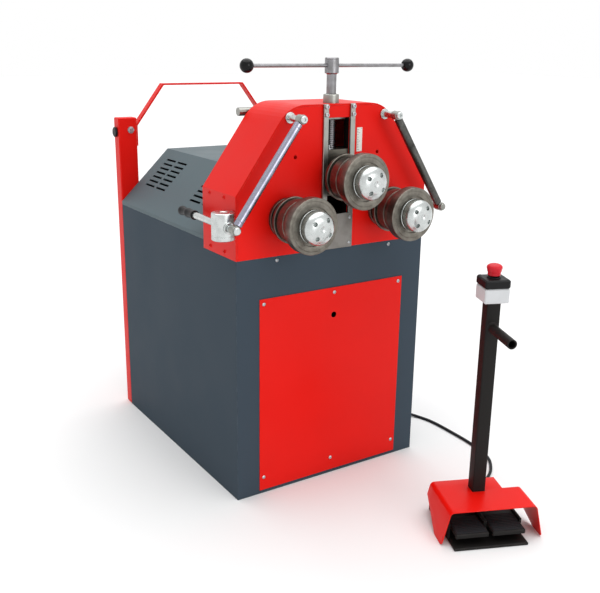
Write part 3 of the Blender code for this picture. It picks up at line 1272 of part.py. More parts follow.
def build_stop_button(group):
    """Stop button: a plunger that is pressed in, and a mushroom head that twists on it."""
    collar = BUTTON_TRAVEL + GAP
    under = MUSHROOM_TOP - MUSHROOM_HEIGHT - LID_TOP
    tip = under + MUSHROOM_SOCKET_DEPTH - GAP
    plunger = [(0, tip), (PLUNGER_TIP_RADIUS, tip), (PLUNGER_TIP_RADIUS, under - GAP),
               (PLUNGER_COLLAR_RADIUS, under - GAP), (PLUNGER_COLLAR_RADIUS, collar),
               (PLUNGER_RADIUS, collar), (PLUNGER_RADIUS, -PLUNGER_LENGTH),
               (0, -PLUNGER_LENGTH)]
    turned("stop_plunger", plunger, "black_plastic", parent=group, segments=ROUND_KNOB)
    dome = MUSHROOM_HEIGHT - MUSHROOM_SKIRT
    skirt_top = under + MUSHROOM_SKIRT
    mushroom = [(0, skirt_top + dome)]
    for step in range(1, MUSHROOM_DOME_STEPS + 1):
        angle = math.pi / 2 * (1 - step / MUSHROOM_DOME_STEPS)
        mushroom.append((MUSHROOM_RADIUS * math.cos(angle), skirt_top + dome * math.sin(angle)))
    bore = running(PLUNGER_TIP_RADIUS, ROUND_MEDIUM)
    mushroom += [(MUSHROOM_RADIUS * MUSHROOM_FOOT_SHARE, under), (bore, under),
                 (bore, under + MUSHROOM_SOCKET_DEPTH), (0, under + MUSHROOM_SOCKET_DEPTH)]
    turned("stop_mushroom", mushroom, "red_plastic", parent=group, segments=ROUND_MEDIUM)


def smooth_route(points, step):
    """Points at even steps along a smooth curve through the given points."""
    knots = [Vector(point) for point in points]
    ends = [knots[0] * 2 - knots[1]] + knots + [knots[-1] * 2 - knots[-2]]
    dense = []
    for before, start, end, after in zip(ends, ends[1:], ends[2:], ends[3:]):
        for part in range(ROUTE_STEPS):
            t = part / ROUTE_STEPS
            dense.append(0.5 * (2 * start + (end - before) * t
                                + (2 * before - 5 * start + 4 * end - after) * t ** 2
                                + (3 * start - before - 3 * end + after) * t ** 3))
    dense.append(knots[-1])
    travelled = [0.0]
    for first, second in zip(dense, dense[1:]):
        travelled.append(travelled[-1] + (second - first).length)
    count = round(travelled[-1] / step)
    even = [dense[0]]
    place = 0
    for index in range(1, count):
        target = travelled[-1] * index / count
        while travelled[place + 1] < target:
            place += 1
        share = (target - travelled[place]) / (travelled[place + 1] - travelled[place])
        even.append(dense[place].lerp(dense[place + 1], share))
    even.append(dense[-1])
    return even


def build_cord(console):
    """Gland on the cabinet, strain relief on the console, and the cord between them."""
    spigot = GLAND_NUT_RADIUS - GAP
    end = GAP + GLAND_LENGTH
    profile = [(0, end), (GLAND_TIP_RADIUS, end), (GLAND_RADIUS, GAP + GLAND_SHOULDER),
               (GLAND_RADIUS, GAP), (spigot, GAP), (spigot, -CABINET_SHEET),
               (0, -CABINET_SHEET)]
    turned("cable_gland", profile, "black_plastic", (HALF_WIDTH, GLAND_Y, GLAND_HEIGHT),
           FACING_RIGHT, segments=ROUND_KNOB)
    tip = GAP + RELIEF_LENGTH
    profile = [(0, tip), (RELIEF_TIP_RADIUS, tip), (RELIEF_RADIUS, GAP), (0, GAP)]
    turned("strain_relief", profile, "black_plastic", (RELIEF_X, BASE_REAR, RELIEF_HEIGHT),
           FACING_REAR, console, ROUND_KNOB)
    start = (HALF_WIDTH + end + GAP, GLAND_Y, GLAND_HEIGHT)
    turn = Matrix.Rotation(CONSOLE_TURN, 3, "Z")
    finish_point = turn @ Vector((RELIEF_X, BASE_REAR + tip + GAP, RELIEF_HEIGHT))
    finish_point += Vector((CONSOLE_X, CONSOLE_Y, 0))
    points = smooth_route([start, *CORD_ROUTE, finish_point], CORD_STEP)
    curve = bpy.data.curves.new("foot_cord", "CURVE")
    curve.dimensions = "3D"
    curve.bevel_depth = CORD_RADIUS
    curve.bevel_resolution = CORD_ROUND_STEPS
    curve.use_fill_caps = True
    spline = curve.splines.new("POLY")
    spline.points.add(len(points) - 1)
    for point, place in zip(spline.points, points):
        point.co = (*place, 1)
    line = bpy.data.objects.new("foot_cord_line", curve)
    TOOLS.objects.link(line)
    mesh = solid_of(line, "foot_cord")
    cord = add_object("foot_cord", mesh, "cord_rubber")
    shade_round(cord)


build_cabinet()
build_front_panel()
build_hood()
build_head()
build_slot_strips()
build_screw_nut()

RAM = empty("ram_axis", (0, FRONT_Y, UPPER_AXIS_HEIGHT))
build_ram(RAM)
SCREW = empty("screw_axis", (0, SCREW_Y, UPPER_AXIS_HEIGHT))
build_press_screw(SCREW)
UPPER = empty("upper_axis", (0, FRONT_Y, UPPER_AXIS_HEIGHT), FACING_FRONT)
build_upper_shaft(UPPER)
build_roller("upper", UPPER)

PINION_PHASE = math.pi / 2
PINION = empty("pinion_axis", (0, FRONT_Y, PINION_HEIGHT), FACING_FRONT)
build_pinion(PINION, PINION_PHASE)
for side, label in ((-1, "left"), (1, "right")):
    build_bearing_flange("bearing_flange_" + label, side)
    axis = empty("lower_axis_" + label, (side * LOWER_AXIS_X, FRONT_Y, LOWER_AXIS_HEIGHT),
                 FACING_FRONT)
    build_lower_shaft("lower_shaft_" + label, axis)
    build_roller("lower_" + label, axis)
    towards = math.atan2(LOWER_AXIS_HEIGHT - PINION_HEIGHT, side * LOWER_AXIS_X)
    build_wheel("drive_wheel_" + label, axis,
                mesh_phase(PINION_TEETH, PINION_PHASE, towards, WHEEL_TEETH))
    build_top_pin("guide_top_pin_" + label, side)
build_gear_motor()

LOCK = empty("lock_axis", (-GUIDE_FOOT_LEFT_X, FRONT_Y, GUIDE_FOOT_HEIGHT), FACING_FRONT)
build_left_foot(LOCK)
build_right_foot()
build_guide(-1, GUIDE_FOOT_LEFT_X, "left")
build_guide(1, GUIDE_FOOT_RIGHT_X, "right")
build_rear_frame()
build_lifting_bar()

CONSOLE = empty("console_frame", (CONSOLE_X, CONSOLE_Y, 0), (0, 0, CONSOLE_TURN))
build_console_base(CONSOLE)
build_console_guard(CONSOLE)
PEDALS = empty("pedal_axis", (0, PEDAL_HINGE_Y, PEDAL_HINGE_HEIGHT), parent=CONSOLE)
build_pedal(PEDALS, "pedal_left", BASE_LEFT + CHEEK_THICKNESS, DIVIDER_X - DIVIDER_THICKNESS / 2)
build_pedal(PEDALS, "pedal_right", DIVIDER_X + DIVIDER_THICKNESS / 2, BASE_RIGHT - CHEEK_THICKNESS)
build_console_column(CONSOLE)
build_stop_box(CONSOLE)
BUTTON = empty("button_axis", (0, 0, LID_TOP), parent=CONSOLE)
build_stop_button(BUTTON)
build_cord(CONSOLE)
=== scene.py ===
"""Dress, stage and camera of a three-roll ring roller with its foot console, in metres."""

import math

import bmesh
import bpy
from mathutils import Matrix, Vector


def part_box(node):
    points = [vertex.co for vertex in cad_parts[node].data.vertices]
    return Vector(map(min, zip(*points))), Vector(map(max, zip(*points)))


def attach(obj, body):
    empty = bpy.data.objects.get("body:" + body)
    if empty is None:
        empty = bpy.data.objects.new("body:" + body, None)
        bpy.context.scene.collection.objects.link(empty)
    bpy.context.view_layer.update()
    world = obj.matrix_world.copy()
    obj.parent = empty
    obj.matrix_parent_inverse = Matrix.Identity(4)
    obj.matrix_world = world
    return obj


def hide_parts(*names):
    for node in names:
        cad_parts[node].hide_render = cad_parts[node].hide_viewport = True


bl_info = {
    "name": "Ring roller dress",
    "version": (1, 0, 0),
    "blender": (4, 5, 0),
    "location": "3D View > Sidebar > Ring roller",
    "description": "Finishes, turned pieces, fasteners, cord and stage of a ring roller",
    "category": "Object",
}

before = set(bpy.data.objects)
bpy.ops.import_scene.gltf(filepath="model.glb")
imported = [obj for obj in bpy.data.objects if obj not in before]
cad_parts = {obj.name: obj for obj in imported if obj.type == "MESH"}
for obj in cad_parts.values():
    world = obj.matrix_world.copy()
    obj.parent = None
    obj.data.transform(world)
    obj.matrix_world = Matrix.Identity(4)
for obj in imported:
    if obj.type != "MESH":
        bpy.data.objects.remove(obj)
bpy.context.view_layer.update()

FRONT = Vector((0, -1, 0))
REAR = Vector((0, 1, 0))
LEFT = Vector((-1, 0, 0))
RIGHT = Vector((1, 0, 0))
UP = Vector((0, 0, 1))

# Steps round a large, a middle-sized and a small turned form.
FINE, MEDIUM, SMALL = 96, 48, 24
# Faces that meet at less than this angle shade as one.
SOFT_ANGLE = math.radians(32)
# Length of a wave of the wave texture at a scale of 1.
WAVE_TURN = math.tau / 20
# Values between which a noise pattern mostly lies.
EVEN_LOW, EVEN_HIGH = 0.3, 0.7
# Depth of a screw head in its face, and the distance at which corners are joined.
OVERLAP, WELD = 0.0002, 0.000001

# Place and turn of the foot console on the floor.
CONSOLE = (Matrix.Translation((0.209, -0.905, 0))
           @ Matrix.Rotation(math.radians(-23), 4, "Z"))

# Middle of the cord, from the gland to the console.
CORD_ROUTE = (
    (0.3746, -0.160, 0.070), (0.395, -0.160, 0.0692), (0.420, -0.163, 0.0640),
    (0.458, -0.177, 0.0410), (0.500, -0.212, 0.0160), (0.536, -0.262, 0.0056),
    (0.552, -0.328, 0.0056), (0.554, -0.430, 0.0056), (0.549, -0.541, 0.0056),
    (0.528, -0.640, 0.0056), (0.485, -0.702, 0.0056), (0.430, -0.745, 0.0056),
    (0.368, -0.772, 0.0080), (0.322, -0.790, 0.0160), (0.3015, -0.815, 0.0218),
    (0.29238, -0.83654, 0.022),
)

# Camera fitted to the corners and round parts that the photograph shows.
CAMERA_PLACE = (-1.4772, -2.4992, 1.3821)
CAMERA_YAW = math.radians(33.176)
CAMERA_PITCH = math.radians(16.823)
CAMERA_ROLL = math.radians(0.802)
CAMERA_LENS = 50.416


def linear(hex_colour):
    """Linear colour of an sRGB hex value, with full opacity."""
    shares = [int(hex_colour[place:place + 2], 16) / 255 for place in (0, 2, 4)]
    return (*(share / 12.92 if share <= 0.04045 else ((share + 0.055) / 1.055) ** 2.4
              for share in shares), 1.0)


def colour_of(name, hex_colour):
    """Property for a colour that a user may change."""
    return bpy.props.FloatVectorProperty(name=name, description=name + " of the machine",
                                         subtype="COLOR", size=4, min=0, max=1,
                                         default=linear(hex_colour))


def length_of(name, description, size):
    """Property for a length in metres that a user may change."""
    return bpy.props.FloatProperty(name=name, description=description, default=size,
                                   unit="LENGTH", subtype="DISTANCE", min=0, precision=4)


class FinishColours(bpy.types.PropertyGroup):
    """Colours of the machine's finishes."""
    slate: colour_of("Slate powder coat", "3F4A54")
    # The hood is the same slate coat, painted paler: painted top light.
    hood: colour_of("Hood slate with painted top light", "5A686D")
    red: colour_of("Red powder coat", "E2140B")
    roller: colour_of("Roller steel", "7B776F")
    bright: colour_of("Bright steel", "9A9AAA")
    spindle: colour_of("Spindle steel", "8E8D90")
    chrome: colour_of("Chrome", "C9CDCC")
    black: colour_of("Black plastic", "0F0F11")
    console: colour_of("Console coat", "1C1A19")
    box: colour_of("Switch box plastic", "D3D5D7")
    button: colour_of("Stop button plastic", "CE2430")


class RollerSizes(bpy.types.PropertyGroup):
    """Sizes of the three bending rollers and their nuts."""
    bead_width: length_of("Bead width", "Width of the raised bead on an inner ring", 0.0035)
    bead_rise: length_of("Bead rise", "How far the bead stands out of the ring", 0.0015)
    edge: length_of("Outer ring edge", "Radius of the outer ring's rounded back edge", 0.006)
    recess: length_of("Face recess", "Depth of the recess in the outer ring's face", 0.005)
    hole_radius: length_of("Spanner hole radius", "Radius of the nut's pin-spanner holes", 0.006)
    hole_circle: length_of("Spanner hole circle", "Radius of the circle of these holes", 0.031)
    skirt: length_of("Nut skirt", "Height of the nut's straight side", 0.028)


class FastenerSizes(bpy.types.PropertyGroup):
    """Sizes of the screws, bolts and other small steel pieces."""
    button_radius: length_of("Button head radius", "Head radius of the sheet screws", 0.0062)
    button_height: length_of("Button head height", "Head height of the sheet screws", 0.0034)
    cap_radius: length_of("Cap head radius", "Head radius of the socket cap screws", 0.0065)
    cap_height: length_of("Cap head height", "Head height of the socket cap screws", 0.0080)
    flange_cap_radius: length_of("Flange screw radius", "Head radius of the flange screws", 0.0045)
    hexagon: length_of("Hexagon half width", "Half of the width across the flats", 0.0085)


class ConsoleSizes(bpy.types.PropertyGroup):
    """Sizes of the foot console's pieces."""
    column: length_of("Column width", "Outside width of the square tube", 0.040)
    corner: length_of("Column corner", "Outside corner radius of the square tube", 0.004)
    rib_pitch: length_of("Tread pitch", "Distance between the ribs of a pedal tread", 0.008)
    cord: length_of("Cord diameter", "Diameter of the foot console's cord", 0.010)


class StageSettings(bpy.types.PropertyGroup):
    """Lamps and floor."""
    ceiling: bpy.props.FloatProperty(name="Ceiling light", default=2.7, min=0,
                                     description="Strength of the even light from above")
    front: bpy.props.FloatProperty(name="Front light", default=1.05, min=0,
                                   description="Strength of the low light from the front")
    spread: bpy.props.FloatProperty(name="Light spread", default=math.radians(80), min=0,
                                    subtype="ANGLE",
                                    description="Angle that the ceiling's panel fills")
    room: bpy.props.FloatProperty(name="Room level", description="Light level of the room",
                                  default=0.45, min=0, max=1, subtype="FACTOR")
    floor: length_of("Floor size", "Side of the square floor", 60.0)


def colours():
    """The colours set on the scene."""
    return bpy.context.scene.ring_roller_colours


def sizes(group):
    """One group of the settings on the scene."""
    return getattr(bpy.context.scene, "ring_roller_" + group)


# Materials

def add_node(tree, kind, inputs=None, **settings):
    """Add a node with its settings; an input is a value or another node's socket."""
    node = tree.nodes.new(kind)
    for key, value in settings.items():
        setattr(node, key, value)
    for key, value in (inputs or {}).items():
        if isinstance(value, bpy.types.NodeSocket):
            tree.links.new(value, node.inputs[key])
        else:
            node.inputs[key].default_value = value
    return node


def new_material(name):
    """An empty material, its node tree and its object coordinates."""
    material = bpy.data.materials.new(name)
    material.use_nodes = True
    tree = material.node_tree
    tree.nodes.clear()
    place = add_node(tree, "ShaderNodeTexCoord").outputs["Object"]
    return material, tree, place


def toned(colour, share):
    """A colour times a share, with full opacity."""
    return (*(part * share for part in colour[:3]), 1.0)


def surface(tree, colour, relief, gloss, rounded, shader):
    """The relief, gloss and shader that every finish ends with. relief is strength, depth
    and pattern, and gloss is a pattern with its lowest and highest roughness."""
    strength, depth, pattern = relief
    bump = add_node(tree, "ShaderNodeBump",
                    {"Strength": strength, "Distance": depth, "Height": pattern,
                     "Normal": rounded.outputs["Normal"]})
    source, low, high = gloss
    dull = add_node(tree, "ShaderNodeMapRange",
                    {"Value": source, "From Min": EVEN_LOW, "From Max": EVEN_HIGH,
                     "To Min": low, "To Max": high})
    skin = add_node(tree, "ShaderNodeBsdfPrincipled",
                    {"Base Color": colour, "Roughness": dull.outputs["Result"],
                     "Normal": bump.outputs["Normal"], **shader})
    add_node(tree, "ShaderNodeOutputMaterial", {"Surface": skin.outputs["BSDF"]})


def within(tree, place, low, high):
    """1 inside a box that lies evenly about X = 0, and 0 outside it."""
    parts = add_node(tree, "ShaderNodeSeparateXYZ", {0: place})
    across = add_node(tree, "ShaderNodeMath", {0: parts.outputs["X"]}, operation="ABSOLUTE")
    shares = [add_node(tree, "ShaderNodeMath", {0: across.outputs[0], 1: high[0]},
                       operation="LESS_THAN")]
    for axis, mark in (("Y", 1), ("Z", 2)):
        shares.append(add_node(tree, "ShaderNodeMath",
                               {0: parts.outputs[axis], 1: low[mark]},
                               operation="GREATER_THAN"))
        shares.append(add_node(tree, "ShaderNodeMath",
                               {0: parts.outputs[axis], 1: high[mark]},
                               operation="LESS_THAN"))
    result = shares[0]
    for share in shares[1:]:
        result = add_node(tree, "ShaderNodeMath", {0: result.outputs[0], 1: share.outputs[0]},
                          operation="MULTIPLY")
    return result.outputs[0]


def coated(name, colour, worn, roughness=0.42, peel=0.004, depth=0.0003, sheen=0.14,
           shade_box_or_bare_nodes=None):
    """Powder coat on sheet steel: orange peel, faint clouding and paler rubbed edges. Inside
    the box that is passed in, the coat is painted near black: painted shade in that recess."""
    cloud_size, rub_size, edge_radius, edge_share = 0.16, 0.03, 0.0022, 0.55
    material, tree, place = new_material(name)
    cloud = add_node(tree, "ShaderNodeTexNoise",
                     {"Vector": place, "Scale": 1 / cloud_size, "Detail": 3.0,
                      "Roughness": 0.55})
    base = add_node(tree, "ShaderNodeMix",
                    {0: cloud.outputs["Fac"], 6: toned(colour, 0.94), 7: toned(colour, 1.04)},
                    data_type="RGBA")
    waves = add_node(tree, "ShaderNodeTexNoise",
                     {"Vector": place, "Scale": 1 / peel, "Detail": 1.0, "Roughness": 0.4})
    rounded = add_node(tree, "ShaderNodeBevel", {"Radius": edge_radius}, samples=4)
    face = add_node(tree, "ShaderNodeNewGeometry")
    turn = add_node(tree, "ShaderNodeVectorMath",
                    {0: rounded.outputs["Normal"], 1: face.outputs["Normal"]},
                    operation="DOT_PRODUCT")
    edge = add_node(tree, "ShaderNodeMapRange",
                    {"Value": turn.outputs["Value"], "From Min": 0.99, "From Max": 0.80,
                     "To Min": 0.0, "To Max": edge_share})
    rub = add_node(tree, "ShaderNodeTexNoise",
                   {"Vector": place, "Scale": 1 / rub_size, "Detail": 4.0, "Roughness": 0.6})
    rubbed = add_node(tree, "ShaderNodeMapRange",
                      {"Value": rub.outputs["Fac"], "From Min": 0.42, "From Max": 0.66})
    wear = add_node(tree, "ShaderNodeMath",
                    {0: edge.outputs["Result"], 1: rubbed.outputs["Result"]},
                    operation="MULTIPLY")
    shown = add_node(tree, "ShaderNodeMix",
                     {0: wear.outputs["Value"], 6: base.outputs[2], 7: worn},
                     data_type="RGBA")
    # Painted shade: near black inside the box that is passed in.
    if shade_box_or_bare_nodes:
        shown = add_node(tree, "ShaderNodeMix",
                         {0: within(tree, place, *shade_box_or_bare_nodes), 6: shown.outputs[2],
                          7: linear("121110")}, data_type="RGBA")
    surface(tree, shown.outputs[2], (0.35, depth, waves.outputs["Fac"]),
            (cloud.outputs["Fac"], roughness - 0.05, roughness + 0.07), rounded,
            {"IOR": 1.5, "Specular IOR Level": sheen})
    return material


def turned_metal(name, colour, stain, roughness, feed, depth=0.00006, soiled=0.5):
    """Steel off the lathe: rings on its faces, bands round its sides and oily patches."""
    patch_size, edge_radius = 0.028, 0.0008
    material, tree, place = new_material(name)
    marks = []
    for kind, setting in (("RINGS", "rings_direction"), ("BANDS", "bands_direction")):
        marks.append(add_node(tree, "ShaderNodeTexWave",
                              {"Vector": place, "Scale": WAVE_TURN / feed, "Distortion": 0.6,
                               "Detail": 2.0, "Detail Scale": 2.0},
                              wave_type=kind, **{setting: "Z"}).outputs["Fac"])
    both = add_node(tree, "ShaderNodeMath", {0: marks[0], 1: marks[1]}, operation="ADD")
    patch = add_node(tree, "ShaderNodeTexNoise",
                     {"Vector": place, "Scale": 1 / patch_size, "Detail": 5.0,
                      "Roughness": 0.62})
    soil = add_node(tree, "ShaderNodeMapRange",
                    {"Value": patch.outputs["Fac"], "From Min": 0.40, "From Max": 0.70,
                     "To Min": 0.0, "To Max": soiled})
    base = add_node(tree, "ShaderNodeMix",
                    {0: soil.outputs["Result"], 6: colour, 7: stain}, data_type="RGBA")
    rounded = add_node(tree, "ShaderNodeBevel", {"Radius": edge_radius}, samples=4)
    surface(tree, base.outputs[2], (0.5, depth, both.outputs["Value"]),
            (patch.outputs["Fac"], roughness - 0.05, roughness + 0.10), rounded,
            {"Metallic": 1.0})
    return material


def ground_metal(name, colour, stain, roughness, grain, stretch, depth=0.00004):
    """Flat steel off the grinder or the mill: fine scratches along one way, faint stains."""
    patch_size, edge_radius, soiled = 0.05, 0.0008, 0.6
    material, tree, place = new_material(name)
    drawn = add_node(tree, "ShaderNodeMapping", {"Vector": place, "Scale": stretch})
    scratch = add_node(tree, "ShaderNodeTexNoise",
                       {"Vector": drawn.outputs["Vector"], "Scale": 1 / grain, "Detail": 3.0,
                        "Roughness": 0.7})
    patch = add_node(tree, "ShaderNodeTexNoise",
                     {"Vector": place, "Scale": 1 / patch_size, "Detail": 4.0,
                      "Roughness": 0.6})
    soil = add_node(tree, "ShaderNodeMapRange",
                    {"Value": patch.outputs["Fac"], "From Min": 0.45, "From Max": 0.75,
                     "To Min": 0.0, "To Max": soiled})
    base = add_node(tree, "ShaderNodeMix",
                    {0: soil.outputs["Result"], 6: colour, 7: stain}, data_type="RGBA")
    rounded = add_node(tree, "ShaderNodeBevel", {"Radius": edge_radius}, samples=4)
    surface(tree, base.outputs[2], (0.4, depth, scratch.outputs["Fac"]),
            (scratch.outputs["Fac"], roughness - 0.05, roughness + 0.08), rounded,
            {"Metallic": 1.0})
    return material


def moulded(name, colour, roughness, grain, depth, pale=1.25):
    """Moulded plastic or rubber: an even skin with fine grain, paler where it is handled."""
    patch_size, edge_radius = 0.035, 0.0010
    material, tree, place = new_material(name)
    skin_grain = add_node(tree, "ShaderNodeTexNoise",
                          {"Vector": place, "Scale": 1 / grain, "Detail": 2.0,
                           "Roughness": 0.5})
    handled = add_node(tree, "ShaderNodeTexNoise",
                       {"Vector": place, "Scale": 1 / patch_size, "Detail": 3.0,
                        "Roughness": 0.6})
    base = add_node(tree, "ShaderNodeMix",
                    {0: handled.outputs["Fac"], 6: toned(colour, 0.88), 7: toned(colour, pale)},
                    data_type="RGBA")
    rounded = add_node(tree, "ShaderNodeBevel", {"Radius": edge_radius}, samples=4)
    surface(tree, base.outputs[2], (0.4, depth, skin_grain.outputs["Fac"]),
            (handled.outputs["Fac"], roughness - 0.05, roughness + 0.08), rounded,
            {"IOR": 1.5, "Specular IOR Level": 0.18})
    return material


def make_finishes():
    """All finishes by name."""
    own = colours()
    slate, hood, red = tuple(own.slate), tuple(own.hood), tuple(own.red)
    roller, bright, spindle = tuple(own.roller), tuple(own.bright), tuple(own.spindle)
    chrome, black, console = tuple(own.chrome), tuple(own.black), tuple(own.console)
    # Box of the head's slot; the coat inside it is painted near black as painted shade.
    slot = ((-0.0577, -0.4335, 0.80), (0.0577, -0.2345, 1.2095))
    made = {}
    # Satin slate powder coat: real orange peel is 2 mm, drawn at 4 mm so that it shows.
    made["slate"] = coated("slate_powder_coated_sheet", slate, linear("8A949C"),
                           roughness=0.50, sheen=0.04)
    # The hood's sheet has the same slate coat, painted paler as painted top light, with a little
    # more sheen.
    made["hood"] = coated("slate_coat_with_painted_top_light", hood, linear("99A3A9"),
                          roughness=0.44, sheen=0.10)
    # Satin red powder coat over plate and sheet, a little glossier, with paler rubbed edges.
    made["red"] = coated("red_powder_coated_sheet", red, linear("F2705E"), roughness=0.38)
    # The same coat on the head, painted near black inside its slot: painted shade in that recess.
    made["head"] = coated("red_powder_coated_plate", red, linear("F2705E"), roughness=0.38,
                          shade_box_or_bare_nodes=slot)
    # Alloy steel off the lathe: a grey-brown oiled skin, feed marks drawn at 2.4 mm.
    made["roller"] = turned_metal("oiled_turned_steel", roller, linear("423C35"), 0.36,
                                  feed=0.0024, soiled=0.62)
    # Dull chrome plate: bright with faint turning rings and smudges, reflections blurred.
    made["chrome"] = turned_metal("satin_chrome_plate", chrome, linear("8F9392"), 0.25,
                                  feed=0.003, depth=0.00002, soiled=0.45)
    # Bright drawn bar: silver with a lavender cast and rings round its sides.
    made["bar"] = turned_metal("bright_drawn_bar", bright, linear("63646E"), 0.24,
                               feed=0.002, depth=0.00003, soiled=0.5)
    # Drawn bar of the screw and its handle: plain grey, dulled by handling.
    made["spindle"] = turned_metal("handled_drawn_bar", spindle, linear("56554F"), 0.30,
                                   feed=0.002, depth=0.00003, soiled=0.5)
    # The other guide's bar is the same drawn bar painted darker: painted shade and painted dark
    # reflection.
    made["painted_shade_bar"] = turned_metal("drawn_bar_painted_shade", linear("62625F"), linear("2A2A28"),
                                    0.30, feed=0.002, depth=0.00003, soiled=0.8)
    # Ground flat steel: scratches up the strip, drawn at 1.5 mm.
    made["ground"] = ground_metal("ground_flat_steel", linear("9C9C97"), linear("5E5E58"), 0.33,
                                  grain=0.0015, stretch=(1.0, 1.0, 0.06))
    # Cold-rolled cover plate: darker and duller, scratches up the plate.
    made["plate"] = ground_metal("cold_rolled_plate", linear("7F7C78"), linear("5A5752"), 0.42,
                                 grain=0.0018, stretch=(1.0, 1.0, 0.08))
    # Milled steel under oil: darker, dull, marks along X.
    made["milled"] = ground_metal("milled_oiled_steel", linear("66635B"), linear("38342D"), 0.40,
                                  grain=0.002, stretch=(0.08, 1.0, 1.0))
    # Zinc-plated screws: pale, slightly cloudy.
    made["zinc"] = ground_metal("zinc_plated_screws", linear("B9BDC0"), linear("888C90"), 0.30,
                                grain=0.0010, stretch=(1.0, 1.0, 1.0))
    # Black oxide on cap screws and the drive's shafts.
    made["oxide"] = ground_metal("black_oxide_steel", linear("3A3B3E"), linear("232325"), 0.42,
                                 grain=0.0012, stretch=(1.0, 1.0, 1.0))
    # Sand-cast iron with grey paint: coarse skin of 1 to 2 mm grit.
    made["casting"] = moulded("painted_sand_casting", linear("565C60"), 0.58, 0.0016, 0.0006)
    # Polished phenolic balls: near black and glossy.
    made["phenolic"] = moulded("polished_phenolic", linear("0B0B0D"), 0.12, 0.004, 0.00002)
    # Moulded black ABS and nylon: satin with a spark-eroded grain.
    made["black"] = moulded("moulded_black_abs", black, 0.40, 0.0012, 0.00008)
    # Fine-texture black coat on the console's tube and plate.
    made["console"] = coated("black_fine_texture_coat", console, linear("6A6462"),
                             roughness=0.50, peel=0.0025, depth=0.0004)
    # Light grey ABS of the switch box.
    made["box"] = moulded("moulded_grey_abs", tuple(own.box), 0.42, 0.0012, 0.00006, pale=1.04)
    # Red moulded polycarbonate of the stop button, glossy.
    made["button"] = moulded("moulded_red_polycarbonate", tuple(own.button), 0.22, 0.004,
                             0.00002, pale=1.08)
    # Vulcanised rubber: matt, with talc-grey lights.
    made["rubber"] = moulded("vulcanised_rubber", linear("1C1C1F"), 0.62, 0.0010, 0.00010,
                             pale=1.5)
    # White lacquered aluminium of the stroke scale, with black printed ticks.
    made["scale"] = moulded("lacquered_scale_strip", linear("ECE9E2"), 0.35, 0.003, 0.00002,
                            pale=1.03)
    made["ink"] = moulded("printed_scale_ink", linear("202022"), 0.50, 0.003, 0.00001)
    return made


FINISH_OF = {
    "slate": ("cabinet_shell",),
    "hood": ("drive_hood",),
    "red": ("front_panel", "rear_post_left", "rear_post_right", "rear_hoop",
            "console_guard"),
    "head": ("head_cover", "head_front_plate", "head_rear_plate"),
    "ground": ("gib_strip_left", "gib_strip_right", "guide_foot_right", "screw_nut",
               "guide_top_pin_left", "guide_top_pin_right", "guide_axle_left",
               "guide_axle_right", "lock_rod", "lifting_bar"),
    "plate": ("slot_cover",),
    "spindle": ("press_screw", "handle_bar"),
    "bar": ("guide_sleeve_left",),
    "painted_shade_bar": ("guide_sleeve_right",),
    "milled": ("ram_block", "bearing_flange_left", "bearing_flange_right", "drive_wheel_left",
               "drive_wheel_right", "drive_pinion", "upper_inner_ring", "upper_outer_ring",
               "lower_left_inner_ring", "lower_left_outer_ring", "lower_right_inner_ring",
               "lower_right_outer_ring"),
    "zinc": ("guide_foot_left", "upper_dome_nut", "lower_left_dome_nut",
             "lower_right_dome_nut"),
    "oxide": ("upper_shaft", "lower_shaft_left", "lower_shaft_right"),
    "casting": ("gear_motor",),
    "black": ("ball_knob_left", "ball_knob_right", "lock_grip", "cable_gland",
              "strain_relief", "stop_plunger", "stop_lid"),
    "console": ("console_base", "console_column", "pedal_left", "pedal_right"),
    "box": ("stop_box",),
    "button": ("stop_mushroom",),
    "rubber": ("foot_cord",),
}

FINISHES = {}


def dress_nodes():
    """Give every CAD node its finish."""
    FINISHES.update(make_finishes())
    dressed = set()
    for finish, nodes in FINISH_OF.items():
        for node in nodes:
            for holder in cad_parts[node].material_slots:
                holder.material = FINISHES[finish]
            dressed.add(node)
    shade_box_or_bare_nodes = sorted(set(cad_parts) - dressed)
    if shade_box_or_bare_nodes:
        raise RuntimeError("nodes without a finish: " + ", ".join(shade_box_or_bare_nodes))


# Mesh helpers

def facing(direction, place=(0, 0, 0)):
    """Matrix whose Z runs along a direction, at a place."""
    turn = Vector(direction).to_track_quat("Z", "Y").to_matrix().to_4x4()
    return Matrix.Translation(place) @ turn


def add_turned(bm, rings, matrix=Matrix(), segments=FINE, closed=False):
    """Turned form about Z. A ring is (radius, height), or (half width, height, True) for a
    hexagon of that half width across its flats."""
    loops = []
    for ring in rings:
        radius, height = ring[0], ring[1]
        if radius == 0:
            loops.append([bm.verts.new(matrix @ Vector((0, 0, height)))])
            continue
        loop = []
        for step in range(segments):
            angle = math.tau * step / segments
            reach = radius
            if len(ring) > 2:
                reach = radius / math.cos(angle % (math.tau / 6) - math.tau / 12)
            point = Vector((reach * math.cos(angle), reach * math.sin(angle), height))
            loop.append(bm.verts.new(matrix @ point))
        loops.append(loop)
    pairs = list(zip(loops, loops[1:]))
    if closed:
        pairs.append((loops[-1], loops[0]))
    for first, second in pairs:
        for step in range(segments):
            after = (step + 1) % segments
            corners = [first[step % len(first)], first[after % len(first)],
                       second[after % len(second)], second[step % len(second)]]
            bm.faces.new(list(dict.fromkeys(corners)))


def add_thread(bm, matrix, root, crest, start, end, pitch, segments=48):
    """Trapezoidal thread wound about Z between two heights."""
    profile = ((root - 0.0004, 0.02), (root, 0.06), (crest, 0.30), (crest, 0.62),
               (root, 0.86), (root - 0.0004, 0.90))
    count = int((end - start) / pitch * segments)
    before = None
    for step in range(count + 1):
        angle = math.tau * step / segments
        height = start + pitch * (step / segments - 0.5)
        row = []
        for radius, share in profile:
            level = min(max(height + pitch * share, start), end)
            row.append(bm.verts.new(matrix @ Vector((radius * math.cos(angle),
                                                     radius * math.sin(angle), level))))
        if before:
            for first in range(len(profile) - 1):
                bm.faces.new((before[first], before[first + 1], row[first + 1], row[first]))
        before = row


